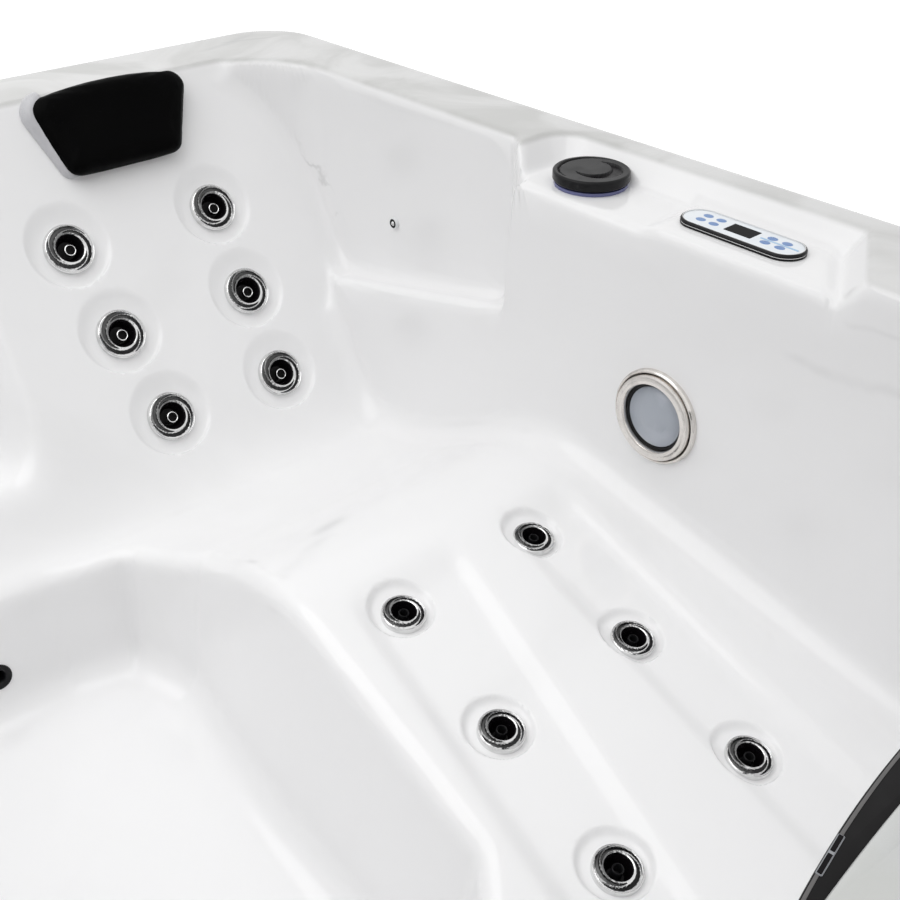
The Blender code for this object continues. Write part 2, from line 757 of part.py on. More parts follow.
def jet_seat_cutter(name, radius, place, axis):
    """Flat seat with a flared side for the jet's face, and the hole for its body."""
    seat = radius + JET_SEAT_MARGIN
    hole = radius * JET_BODY_FLANGE_SHARE - JET_BODY_WALL + GAP
    deep = SHELL_WALL * 3
    profile = [(0, -deep), (hole, -deep), (hole, -JET_SEAT_SINK), (seat, -JET_SEAT_SINK),
               (seat + JET_SEAT_FLARE * 2, JET_SEAT_SINK * 3), (0, JET_SEAT_SINK * 3)]
    cutter = mark_cutter(add_turned(name, profile, JET_STEPS, None, place, axis, CUTTERS))
    cut(SHELL, cutter)
    return cutter


def add_jet(name, radius, place, axis):
    """A turning steel face whose sleeve runs in the bore of a body through the shell."""
    jet_seat_cutter(name + "_cutter", radius, place, axis)
    throat = radius * JET_THROAT_SHARE
    flange = radius * JET_BODY_FLANGE_SHARE
    outer = flange - JET_BODY_WALL
    seat = GAP - JET_SEAT_SINK
    flange_top = seat + JET_BODY_FLANGE
    under = flange_top + GAP
    bore = outer - JET_BODY_WALL
    sleeve = bore - JET_RUNNING_GAP
    inner = sleeve - JET_SLEEVE_WALL
    face_top = under + JET_FACE_HEIGHT
    face = [(radius, under + JET_FACE_LIP), (radius, under), (sleeve, under),
            (sleeve, under - JET_SLEEVE_LENGTH), (inner, under - JET_SLEEVE_LENGTH),
            (throat, under - JET_CONE_DEPTH), (throat, under),
            ((throat + radius) / 2, face_top)]
    add_turned(name + "_face", face[::-1], JET_STEPS, "steel", place, axis)
    back = seat - JET_BODY_LENGTH
    body = [(flange, flange_top), (flange, seat), (outer, seat), (outer, back), (0, back),
            (0, back + JET_BODY_WALL), (bore, back + JET_BODY_WALL), (bore, flange_top)]
    add_turned(name + "_body", body[::-1], JET_STEPS, "grey_plastic", place, axis)


def back_jet_places():
    """Places of the back jets, left row then right row, from the top down."""
    top = head_y(HEAD_DECK)
    for start, taper in ((BACK_JET_LEFT, BACK_JET_TAPER), (BACK_JET_RIGHT, 0.0)):
        for index in range(JETS_IN_ROW):
            depth = BACK_JET_TOP_DEPTH + index * BACK_JET_STEP_DOWN
            y = top - depth * math.tan(BACKREST_RECLINE)
            yield Vector((side_x(start - index * taper), y, RIM_HEIGHT - depth))


def leg_level(along):
    """Depth of the leg rest's plane, under its channels, at a distance from the head end."""
    fall = (along - KNEE_DISTANCE) * LEG_SLOPE
    return RIM_HEIGHT - KNEE_DEPTH - CHANNEL_DEPTH - fall


def leg_jet_places():
    for start in (LEG_JET_LEFT, LEG_JET_RIGHT):
        for index in range(JETS_IN_ROW):
            along = LEG_JET_FIRST + index * LEG_JET_STEP
            x = side_x(start + index * LEG_JET_TAPER)
            yield Vector((x, head_y(along), leg_level(along)))


BACK_AXIS = Vector((0, -math.cos(BACKREST_RECLINE), math.sin(BACKREST_RECLINE)))
LEG_AXIS = Vector((0, -LEG_SLOPE, 1)).normalized()


def add_jets():
    for number, place in enumerate(back_jet_places(), 1):
        add_jet(f"back_jet_{number}", BACK_JET_RADIUS, place, BACK_AXIS)
    for number, place in enumerate(leg_jet_places(), 1):
        add_jet(f"leg_jet_{number}", LEG_JET_RADIUS, place, LEG_AXIS)


# Diverter

def add_diverter():
    place = Vector((side_x(DIVERTER_DECK), head_y(DIVERTER_DISTANCE), PLATEAU_LEVEL))
    neck = DIVERTER_NECK_RADIUS
    add_cylinder_cutter("diverter_hole", neck + GAP, -SHELL_WALL * 3, SHELL_WALL * 3,
                        DIVERTER_STEPS, place)
    cut(SHELL, bpy.data.objects["diverter_hole"])
    spot = add_cylinder_cutter("diverter_seat", DIVERTER_RADIUS + DIVERTER_CLEARANCE, 0,
                               DIVERTER_HEIGHT, DIVERTER_STEPS, place)
    cut(SHELL, spot)
    collar = GAP + DIVERTER_COLLAR_HEIGHT
    socket = collar + DIVERTER_DRIVE_HEIGHT
    stem = DIVERTER_STEM_RADIUS
    bottom = -DIVERTER_BODY_LENGTH
    shoulder = -SHELL_WALL * 2
    valve = [(0, socket), (stem, socket), (stem, collar), (DIVERTER_COLLAR_RADIUS, collar),
             (DIVERTER_COLLAR_RADIUS, GAP), (neck, GAP), (neck, shoulder),
             (DIVERTER_BODY_RADIUS, shoulder), (DIVERTER_BODY_RADIUS, bottom), (0, bottom)]
    add_turned("diverter_valve", valve, DIVERTER_STEPS, "grey_plastic", place)
    low = collar + GAP
    top = GAP + DIVERTER_HEIGHT
    chamfer = DIVERTER_DRIVE_HEIGHT / 2
    knob = [(0, top), (DIVERTER_RADIUS - chamfer, top), (DIVERTER_RADIUS, top - chamfer),
            (DIVERTER_RADIUS, low), (stem + GAP, low), (stem + GAP, socket + GAP),
            (0, socket + GAP)]
    add_turned("diverter_knob", knob, DIVERTER_STEPS, "black_plastic", place)


# Control panel

def stadium(length, width, steps):
    """Outline of a slot shape along Y, counter-clockwise."""
    radius = width / 2
    points = []
    for centre, start in ((length / 2 - radius, 0.0), (radius - length / 2, math.pi)):
        for index in range(steps + 1):
            angle = start + math.pi * index / steps
            points.append((radius * math.cos(angle), centre + radius * math.sin(angle)))
    return points


def panel_lift(item):
    item.location = (side_x(PANEL_DECK), head_y(PANEL_DISTANCE), PAD_LEVEL + GAP)
    return item


def add_control_panel():
    half_width, half_length = PANEL_BOX_WIDTH / 2, PANEL_BOX_LENGTH / 2
    hole = panel_lift(add_box("panel_hole", (-half_width - GAP, -half_length - GAP, -PANEL_BOX_DEPTH),
                              (half_width + GAP, half_length + GAP, PANEL_BOX_DEPTH), None,
                              group=CUTTERS))
    cut(SHELL, mark_cutter(hole))
    seat = prism_mesh("panel_seat", stadium(PANEL_LENGTH + GAP * 2, PANEL_WIDTH + GAP * 2,
                                            PANEL_END_STEPS), -GAP, PANEL_BOX_DEPTH)
    cut(SHELL, mark_cutter(panel_lift(add_object("panel_seat", seat, None, CUTTERS))))
    outline = stadium(PANEL_LENGTH, PANEL_WIDTH, PANEL_END_STEPS)
    bezel = panel_lift(add_object("control_panel", prism_mesh("control_panel", outline, 0,
                                  PANEL_BEZEL_HEIGHT), "black_plastic"))
    window = stadium(PANEL_LENGTH - PANEL_BEZEL_RIM * 2, PANEL_WIDTH - PANEL_BEZEL_RIM * 2,
                     PANEL_END_STEPS)
    floor = PANEL_BEZEL_HEIGHT - PANEL_RECESS_DEPTH
    recess = add_object("panel_recess", prism_mesh("panel_recess", window, floor,
                                                   PANEL_BOX_DEPTH), None, CUTTERS)
    cut(bezel, mark_cutter(panel_lift(recess)))
    case = panel_lift(add_box("panel_case", (-half_width, -half_length, -PANEL_BOX_DEPTH),
                              (half_width, half_length, PANEL_BEZEL_HEIGHT / 2), None,
                              group=CUTTERS))
    cut(bezel, mark_cutter(case), "UNION")
    skin = stadium(PANEL_LENGTH - (PANEL_BEZEL_RIM + GAP) * 2,
                   PANEL_WIDTH - (PANEL_BEZEL_RIM + GAP) * 2, PANEL_END_STEPS)
    panel_lift(add_object("panel_overlay", prism_mesh("panel_overlay", skin, floor + GAP,
                          floor + GAP + PANEL_OVERLAY_THICKNESS), "overlay"))


# Light, sensor and water fittings

def wall_x(along, depth):
    """X of the control-side wall at a distance from the head end and a depth."""
    start = BASIN_EDGE_RADIUS * math.cos(WALL_DRAFT)
    return side_x(CONTROL_DECK) - start - (depth - PLATEAU_DEPTH) * math.tan(WALL_DRAFT)


WALL_AXIS = Vector((-math.cos(WALL_DRAFT), 0, math.sin(WALL_DRAFT)))


def add_light():
    place = Vector((wall_x(LIGHT_DISTANCE, LIGHT_DEPTH), head_y(LIGHT_DISTANCE),
                    RIM_HEIGHT - LIGHT_DEPTH))
    steps = DIVERTER_STEPS
    neck = LIGHT_NECK_RADIUS
    seat_cutter = [(0, -SHELL_WALL * 3), (neck + GAP, -SHELL_WALL * 3), (neck + GAP, -JET_SEAT_SINK),
                   (LIGHT_RADIUS + GAP, -JET_SEAT_SINK), (LIGHT_RADIUS + GAP, SHELL_WALL * 2),
                   (0, SHELL_WALL * 2)]
    cut(SHELL, mark_cutter(add_turned("light_seat", seat_cutter, steps, None, place, WALL_AXIS,
                                      CUTTERS)))
    seat = GAP - JET_SEAT_SINK
    lens_top = seat + LIGHT_HOUSING_WALL + LIGHT_LENS_THICKNESS
    back = seat - LIGHT_HOUSING_LENGTH
    wall = LIGHT_HOUSING_WALL
    rim = seat + wall
    housing = [(neck, rim), (neck, back), (0, back), (0, back + wall), (neck - wall, back + wall),
               (neck - wall, rim)]
    add_turned("light_housing", housing[::-1], steps, "grey_plastic", place, WALL_AXIS)
    lens = [(LIGHT_NECK_RADIUS - wall / 2, rim + GAP), (LIGHT_NECK_RADIUS - wall / 2, lens_top),
            (0, lens_top), (0, rim + GAP)]
    add_turned("light_lens", lens[::-1], steps, "lens", place, WALL_AXIS)
    inner = LIGHT_LENS_RADIUS
    top = seat + LIGHT_BEZEL_HEIGHT
    bezel = [(neck + GAP, seat), (LIGHT_RADIUS, seat), (LIGHT_RADIUS, seat + LIGHT_HOUSING_WALL),
             ((LIGHT_RADIUS * 2 + inner) / 3, top), (inner, lens_top + GAP),
             (neck + GAP, lens_top + GAP)]
    add_turned("light_bezel", bezel, steps, "steel", place, WALL_AXIS)


def add_sensor():
    """Probe through the recess wall, with its collar on the wet side."""
    drop = SENSOR_DEPTH - BASIN_EDGE_RADIUS
    x = side_x(RECESS_DECK) - BASIN_EDGE_RADIUS - drop * math.tan(WALL_DRAFT)
    place = Vector((x, head_y(SENSOR_DISTANCE), RIM_HEIGHT - SENSOR_DEPTH))
    radius = SENSOR_RADIUS / 2
    steps = JET_STEPS
    cutter = [(0, -SHELL_WALL * 2), (radius + GAP, -SHELL_WALL * 2), (radius + GAP, -SENSOR_SINK),
              (SENSOR_RADIUS + GAP, -SENSOR_SINK), (SENSOR_RADIUS + GAP, SHELL_WALL),
              (0, SHELL_WALL)]
    cut(SHELL, mark_cutter(add_turned("sensor_seat", cutter, steps, None, place, WALL_AXIS,
                                      CUTTERS)))
    low = GAP - SENSOR_SINK
    probe = [(0, low - SENSOR_LENGTH), (radius, low - SENSOR_LENGTH), (radius, low),
             (SENSOR_RADIUS, low), (SENSOR_RADIUS, low + SENSOR_SINK), (radius, SENSOR_SINK * 2),
             (0, SENSOR_SINK * 2)]
    add_turned("temperature_sensor", probe[::-1], steps, "steel", place, WALL_AXIS)


def wall_place(x, level, inner, outer):
    """Place on a wall that rises from inner to outer along Y, at a level, and its normal."""
    for _ in range(SEARCH_ROUNDS):
        middle = (inner + outer) / 2
        if surface_point(x, middle).z < level:
            inner = middle
        else:
            outer = middle
    place = Vector((x, inner, level))
    rise_x = surface_point(x + OVERRUN, inner).z - surface_point(x - OVERRUN, inner).z
    rise_y = surface_point(x, inner + GAP).z - surface_point(x, inner - GAP).z
    normal = Vector((-rise_x / (2 * OVERRUN), -rise_y / (2 * GAP), 1.0)).normalized()
    return place, normal


def fitting_seat(name, radius, hole, place, axis):
    """Flat seat for a fitting's collar, sunk a little, and the hole for its tail."""
    deep = SHELL_WALL * 3
    profile = [(0, -deep), (hole + GAP, -deep), (hole + GAP, -JET_SEAT_SINK),
               (radius + GAP, -JET_SEAT_SINK), (radius + GAP, deep), (0, deep)]
    cut(SHELL, mark_cutter(add_turned(name, profile, JET_STEPS, None, place, axis, CUTTERS)))
    return GAP - JET_SEAT_SINK


def add_return_fitting():
    middle = head_y(WELL_SEAT_MIDDLE[1])
    place, axis = wall_place(side_x(RETURN_DECK), WELL_LEVEL + RETURN_RISE,
                             middle - WELL_DEPTH / 2, middle)
    seat = fitting_seat("return_seat", RETURN_RADIUS, RETURN_TAIL_RADIUS, place, axis)
    wall = RETURN_TAIL_RADIUS / 3
    bore = RETURN_TAIL_RADIUS - wall
    top = seat + RETURN_HEIGHT
    back = seat - RETURN_LENGTH
    profile = [(RETURN_RADIUS, seat), (RETURN_TAIL_RADIUS, seat), (RETURN_TAIL_RADIUS, back),
               (bore, back), (bore, top), (RETURN_RADIUS - wall, top)]
    add_turned("return_fitting", profile, JET_STEPS, "black_plastic", place, axis)


def add_suction():
    foot = -head_y(WELL_FOOT_LEFT[1])
    middle = (side_x(WELL_FOOT_RIGHT[0]) - side_x(WELL_FOOT_LEFT[0])) / 2
    place, axis = wall_place(middle, WELL_LEVEL + SUCTION_RISE, foot + WELL_DEPTH / 3, foot)
    seat = fitting_seat("suction_seat", SUCTION_RADIUS, PIPE_RADIUS, place, axis)
    wall = SUCTION_COVER_WALL
    flange = SUCTION_RADIUS - wall * 2
    back = seat - SUCTION_RADIUS
    bore = PIPE_RADIUS - wall
    fitting = [(flange, seat + wall), (flange, seat), (PIPE_RADIUS, seat), (PIPE_RADIUS, back),
               (bore, back), (bore, seat + wall)]
    add_turned("suction_fitting", fitting[::-1], JET_STEPS, "grey_plastic", place, axis)
    top = seat + SUCTION_DOME
    shoulder = SUCTION_RADIUS - SUCTION_DOME / 2
    cover = [(SUCTION_RADIUS, seat), (SUCTION_RADIUS, seat + wall * 2), (shoulder, top), (0, top),
             (0, top - wall), (shoulder - wall, top - wall),
             (flange + GAP, seat + wall + GAP), (flange + GAP, seat)]
    add_turned("suction_cover", cover, JET_STEPS, "white_plastic", place, axis)
    return place + axis * (back - GAP), axis


# Pillow

def rounded_trapezoid(top_width, bottom_width, length, radius, steps):
    """Outline with its top edge at Y 0 and its bottom edge below, counter-clockwise."""
    corners = [(-bottom_width / 2, -length), (bottom_width / 2, -length),
               (top_width / 2, 0), (-top_width / 2, 0)]
    centres = inset_corners(corners, radius)
    points = []
    for index, centre in enumerate(centres):
        here = Vector(corners[index])
        before = (here - Vector(corners[index - 1])).normalized()
        after = (Vector(corners[(index + 1) % 4]) - here).normalized()
        first = math.atan2(-before.x, before.y)
        turn = before.angle_signed(after)
        for step in range(steps + 1):
            angle = first - turn * step / steps
            points.append((centre.x + radius * math.cos(angle), centre.y + radius * math.sin(angle)))
    return points


def pillow_matrix():
    place = Vector((side_x(PILLOW_DECK), head_y(HEAD_DECK) - PILLOW_TOP_DEPTH *
                    math.tan(BACKREST_RECLINE), RIM_HEIGHT - PILLOW_TOP_DEPTH))
    side = Vector((1, 0, 0))
    slope = BACK_AXIS.cross(side)
    turn = Matrix((side, slope, BACK_AXIS)).transposed().to_4x4()
    return Matrix.Translation(place) @ turn


def pillow_outline(margin=0.0):
    return rounded_trapezoid(PILLOW_TOP_WIDTH + margin * 2, PILLOW_BOTTOM_WIDTH + margin * 2,
                             PILLOW_LENGTH + margin, PILLOW_CORNER, PILLOW_CORNER_STEPS)


def crowned_mesh(name, outline, base, height, shares):
    """A cushion: rings of the outline drawn in and raised by the shares, and a flat base."""
    middle = Vector((sum(px for px, _ in outline), sum(py for _, py in outline))) / len(outline)
    bm = bmesh.new()
    rings = []
    for size, rise in shares:
        ring = [bm.verts.new((middle.x + (px - middle.x) * size, middle.y + (py - middle.y) * size,
                              base + height * rise)) for px, py in outline]
        rings.append(ring)
    for low, high in zip(rings, rings[1:]):
        for index in range(len(outline)):
            after = (index + 1) % len(outline)
            bm.faces.new((low[index], low[after], high[after], high[index]))
    bm.faces.new(rings[0][::-1])
    bm.faces.new(rings[-1])
    return smooth_shade(mesh_from(bm, name), math.radians(60))


def add_pillow():
    matrix = pillow_matrix()
    low = GAP - PILLOW_SINK
    reach = PILLOW_THICKNESS * 2
    seat = add_object("pillow_seat", prism_mesh("pillow_seat", pillow_outline(GAP),
                                                -PILLOW_SINK, reach), None, CUTTERS)
    seat.matrix_world = matrix
    cut(SHELL, mark_cutter(seat))
    backing = add_object("pillow_backing", prism_mesh("pillow_backing", pillow_outline(), low,
                                                      PILLOW_BACKING + low), "grey_plastic")
    backing.matrix_world = matrix
    for name, side in (("left", -1), ("right", 1)):
        middle = Vector((side * PILLOW_PEG_SPACING / 2, -PILLOW_LENGTH / 2, 0))
        place = matrix @ middle
        hole = add_cylinder_cutter("pillow_hole_" + name, PILLOW_PEG_RADIUS + GAP,
                                   -SHELL_WALL * 2, SHELL_WALL, JET_STEPS // 2, place, BACK_AXIS)
        cut(SHELL, hole)
        peg = add_cylinder_cutter("pillow_peg_" + name, PILLOW_PEG_RADIUS, -PILLOW_PEG_LENGTH,
                                  PILLOW_BACKING / 2, JET_STEPS // 2, place, BACK_AXIS)
        cut(backing, peg, "UNION")
    cushion = add_object("pillow", crowned_mesh("pillow", pillow_outline(), low + PILLOW_BACKING
                         + GAP, PILLOW_THICKNESS, PILLOW_FORM_SHARES), "cushion")
    cushion.matrix_world = matrix


# Skimmer and filter

FOOT_EDGE = -HALF_LENGTH + FOOT_DECK
SKIMMER_X = side_x(SKIMMER_DECK)
FACE_TOP = RIM_HEIGHT - LID_SINK - LID_THICKNESS - GAP
FACE_BACK = FOOT_EDGE - BUCKET_SETBACK + GAP
MOUTH_TOP = FACE_TOP - MOUTH_DROP
BUCKET_FRONT = FOOT_EDGE - BUCKET_SETBACK
BUCKET_BACK = BUCKET_FRONT - BUCKET_LENGTH
BUCKET_FLOOR = FACE_TOP - BUCKET_DEPTH
LID_HINGE = Vector((SKIMMER_X, BUCKET_BACK + BUCKET_WALL + LID_PIN_INSET,
                    FACE_TOP + GAP + LID_THICKNESS / 2))


def x_cylinder(name, radius, start, end, y, z, steps=JET_STEPS // 2):
    place = Vector((0, y, z))
    return add_cylinder_cutter(name, radius, start, end, steps, place, Vector((1, 0, 0)))


def add_skimmer():
    half = SKIMMER_WIDTH / 2
    cut_out = add_box("skimmer_hole", (SKIMMER_X - half - GAP, BUCKET_BACK - LID_SWING,
                                       FACE_TOP - SKIMMER_FACE_HEIGHT - GAP),
                      (SKIMMER_X + half + GAP, FOOT_EDGE + SKIMMER_BOW * 3,
                       RIM_HEIGHT + SHELL_WALL), None, group=CUTTERS)
    cut(SHELL, mark_cutter(cut_out))
    add_skimmer_face(half)
    add_weir()
    add_bucket(half)
    add_lid(half)
    floor = BUCKET_FLOOR + BUCKET_WALL + GAP
    middle = Vector((SKIMMER_X, (BUCKET_FRONT + BUCKET_BACK) / 2, floor))
    roll = [(CARTRIDGE_BORE, 0), (CARTRIDGE_RADIUS, 0), (CARTRIDGE_RADIUS, CARTRIDGE_LENGTH),
            (CARTRIDGE_BORE, CARTRIDGE_LENGTH)]
    add_turned("filter_cartridge", roll, DIVERTER_STEPS, "paper", middle)


def add_skimmer_face(half):
    """Bowed dark front of the skimmer, with the mouth that the weir closes."""
    front = FOOT_EDGE + SKIMMER_FRONT
    arc = []
    for index in range(SKIMMER_ARC_STEPS + 1):
        across = 2 * index / SKIMMER_ARC_STEPS - 1
        arc.append((SKIMMER_X - across * half, front + SKIMMER_BOW * (1 - across**2)))
    outline = [(SKIMMER_X - half, FACE_BACK), (SKIMMER_X + half, FACE_BACK)] + arc
    face = add_object("skimmer_face", prism_mesh("skimmer_face", outline,
                      FACE_TOP - SKIMMER_FACE_HEIGHT, FACE_TOP), "black_plastic")
    mouth = add_box("mouth", (SKIMMER_X - MOUTH_WIDTH / 2, BUCKET_FRONT - BUCKET_WALL - OVERRUN,
                              MOUTH_TOP - MOUTH_HEIGHT),
                    (SKIMMER_X + MOUTH_WIDTH / 2, FOOT_EDGE + SKIMMER_BOW * 2, MOUTH_TOP), None,
                    group=CUTTERS)
    cut(face, mark_cutter(mouth))
    reach = MOUTH_WIDTH / 2 + PIN_REACH + GAP
    pin = x_cylinder("weir_pin_hole", LID_PIN_RADIUS + GAP, SKIMMER_X - reach,
                     SKIMMER_X + reach, WEIR_PIVOT.y, WEIR_PIVOT.z)
    cut(face, pin)


WEIR_PIVOT = Vector((SKIMMER_X, FACE_BACK + WEIR_THICKNESS,
                     MOUTH_TOP - WEIR_CLEARANCE - WEIR_THICKNESS / 2))


def add_weir():
    """Flap that hangs from its top edge and swings in as water is drawn through the mouth."""
    half = MOUTH_WIDTH / 2 - WEIR_CLEARANCE
    low = (SKIMMER_X - half, WEIR_PIVOT.y - WEIR_THICKNESS / 2,
           MOUTH_TOP - MOUTH_HEIGHT + WEIR_CLEARANCE)
    high = (SKIMMER_X + half, WEIR_PIVOT.y + WEIR_THICKNESS / 2, MOUTH_TOP - WEIR_CLEARANCE)
    flap = add_box("skimmer_weir", low, high, "grey_plastic")
    reach = MOUTH_WIDTH / 2 + PIN_REACH
    pin = x_cylinder("weir_pin", LID_PIN_RADIUS, SKIMMER_X - reach, SKIMMER_X + reach,
                     WEIR_PIVOT.y, WEIR_PIVOT.z)
    cut(flap, pin, "UNION")


def add_bucket(half):
    top = RIM_HEIGHT - LID_SINK
    bucket = add_box("skimmer_bucket", (SKIMMER_X - half, BUCKET_BACK, BUCKET_FLOOR),
                     (SKIMMER_X + half, BUCKET_FRONT, top), "grey_plastic")
    inner = half - BUCKET_WALL
    hollow = add_box("bucket_hollow", (SKIMMER_X - inner, BUCKET_BACK + BUCKET_WALL,
                                       BUCKET_FLOOR + BUCKET_WALL),
                     (SKIMMER_X + inner, BUCKET_FRONT - BUCKET_WALL, top + OVERRUN), None,
                     group=CUTTERS)
    cut(bucket, mark_cutter(hollow))
    notch = add_box("bucket_notch", (SKIMMER_X - inner, BUCKET_BACK - OVERRUN, FACE_TOP),
                    (SKIMMER_X + inner, BUCKET_FRONT + OVERRUN, top + OVERRUN), None,
                    group=CUTTERS)
    cut(bucket, mark_cutter(notch))
    cut(bucket, bpy.data.objects["mouth"])
    pin = x_cylinder("lid_pin_hole", LID_PIN_RADIUS + GAP, SKIMMER_X - half - OVERRUN,
                     SKIMMER_X + half + OVERRUN, LID_HINGE.y, LID_HINGE.z)
    cut(bucket, pin)


def add_lid(half):
    inner = half - LID_SIDE
    front = FOOT_EDGE + GAP
    lid = add_box("filter_lid", (SKIMMER_X - inner, LID_HINGE.y - LID_PIN_INSET, FACE_TOP + GAP),
                  (SKIMMER_X + inner, front, FACE_TOP + GAP + LID_THICKNESS), "white_plastic")
    reach = half - BUCKET_WALL + PIN_REACH
    pin = x_cylinder("lid_pin", LID_PIN_RADIUS, SKIMMER_X - reach, SKIMMER_X + reach,
                     LID_HINGE.y, LID_HINGE.z)
    cut(lid, pin, "UNION")


# Cabinet, frame and base

PAN_TOP = PAN_THICKNESS + GAP
CABINET_X = HALF_WIDTH - CABINET_INSET
CABINET_Y = HALF_LENGTH - CABINET_INSET
CABINET_TOP = RIM_HEIGHT - RIM_EDGE_RADIUS - GAP
CORNER_RADIUS = RIM_CORNER_RADIUS - CABINET_INSET
PANEL_JOINT = HALF_WIDTH - POST_REACH
FRAME_X = CABINET_X - CABINET_WALL - RAIL_INSET
FRAME_Y = CABINET_Y - CABINET_WALL - RAIL_INSET


def corner_arc(radius, side):
    """Quarter circle at the head or the foot corner of the +X side, counter-clockwise."""
    centre = (CABINET_X - CORNER_RADIUS, side * (CABINET_Y - CORNER_RADIUS))
    start = 0.0 if side > 0 else -math.pi / 2
    points = []
    for step in range(POST_ARC_STEPS + 1):
        angle = start + math.pi / 2 * step / POST_ARC_STEPS
        points.append((centre[0] + radius * math.cos(angle), centre[1] + radius * math.sin(angle)))
    return points


def add_pan():
    """Base pan with rounded corners, and the plinth that carries the footwell."""
    right = corner_arc(CORNER_RADIUS, -1) + corner_arc(CORNER_RADIUS, 1)
    outline = right + [(-px, -py) for px, py in right]
    pan = add_object("base_pan", smooth_shade(prism_mesh("base_pan", outline, 0, PAN_THICKNESS)),
                     "black_plastic")
    middle_x = (side_x(WELL_KNEE[0]) - side_x(WELL_LEFT[0])) / 2
    middle_y = (head_y(WELL_SEAT_MIDDLE[1]) - head_y(WELL_FOOT_LEFT[1])) / 2
    top = WELL_LEVEL - SHELL_WALL - GAP
    plinth = add_box("plinth", (middle_x - PLINTH_WIDTH / 2, middle_y - PLINTH_LENGTH / 2,
                                PAN_THICKNESS / 2),
                     (middle_x + PLINTH_WIDTH / 2, middle_y + PLINTH_LENGTH / 2, top), None,
                     group=CUTTERS)
    cut(pan, mark_cutter(plinth), "UNION")


def add_side_panels():
    """Long panels, bent round the tub's corners."""
    inner = CORNER_RADIUS - CABINET_WALL
    outline = [(PANEL_JOINT, -CABINET_Y)] + corner_arc(CORNER_RADIUS, -1)
    outline += corner_arc(CORNER_RADIUS, 1) + [(PANEL_JOINT, CABINET_Y)]
    outline += [(PANEL_JOINT, CABINET_Y - CABINET_WALL)] + corner_arc(inner, 1)[::-1]
    outline += corner_arc(inner, -1)[::-1] + [(PANEL_JOINT, CABINET_WALL - CABINET_Y)]
    mirrored = [(-px, py) for px, py in outline[::-1]]
    for name, points in (("panel_control_side", outline), ("panel_left_side", mirrored)):
        mesh = prism_mesh(name, points, PAN_TOP, CABINET_TOP)
        add_object(name, smooth_shade(mesh), "cabinet")


def add_end_panels():
    span = PANEL_JOINT - GAP
    for name, side in (("panel_head_end", 1), ("panel_foot_end", -1)):
        edges = sorted((side * CABINET_Y, side * (CABINET_Y - CABINET_WALL)))
        add_box(name, (-span, edges[0], PAN_TOP), (span, edges[1], CABINET_TOP), "cabinet")


def add_ring(name, low, high, group=None):
    """Square-section ring of the frame at a height."""
    ring = add_box(name, (-FRAME_X, -FRAME_Y, low), (FRAME_X, FRAME_Y, high), None, group=group)
    hole_x, hole_y = FRAME_X - RAIL_WIDTH, FRAME_Y - RAIL_WIDTH
    hole = add_box(name + "_hole", (-hole_x, -hole_y, low - OVERRUN),
                   (hole_x, hole_y, high + OVERRUN), None, group=CUTTERS)
    cut(ring, mark_cutter(hole))
    return ring


def add_frame():
    """Timber frame: a ring on the pan, a ring under the rim and four legs to the rim."""
    top = RIM_HEIGHT - RAIL_DEPTH
    rail = add_ring("frame_rail", top - RAIL_HEIGHT, top, CUTTERS)
    frame = add_ring("frame", PAN_TOP, PAN_TOP + RAIL_HEIGHT)
    frame.data.materials.append(MATERIALS["timber"])
    cut(frame, mark_cutter(rail), "UNION")
    reach = FRAME_CHAMFER / math.sqrt(2)
    out_x, out_y = FRAME_X - FRAME_CHAMFER / 2, FRAME_Y - FRAME_CHAMFER / 2
    for number, (turn_x, turn_y) in enumerate(((1, 1), (-1, 1), (-1, -1), (1, -1)), 1):
        across = sorted((turn_x * out_x, turn_x * (out_x - FRAME_LEG_WIDTH)))
        along = sorted((turn_y * out_y, turn_y * (out_y - FRAME_LEG_WIDTH)))
        leg = add_box(f"frame_leg_{number}", (across[0], along[0], PAN_TOP),
                      (across[1], along[1], RIM_HEIGHT - SHELL_WALL - GAP), None, group=CUTTERS)
        cut(frame, mark_cutter(leg), "UNION")
        corner = add_box(f"frame_corner_{number}", (-reach, -reach, 0),
                         (reach, reach, RIM_HEIGHT), None, group=CUTTERS)
        corner.location = (turn_x * FRAME_X, turn_y * FRAME_Y, 0)
        corner.rotation_euler.z = math.pi / 4
        cut(frame, mark_cutter(corner))


# Pump, heater pack, pipes and drain

PUMP_Y = -HALF_LENGTH + PUMP_INSET
PUMP_Z = PAN_TOP + PUMP_RISE + MOTOR_RADIUS
PUMP_X = side_x(PUMP_DECK)


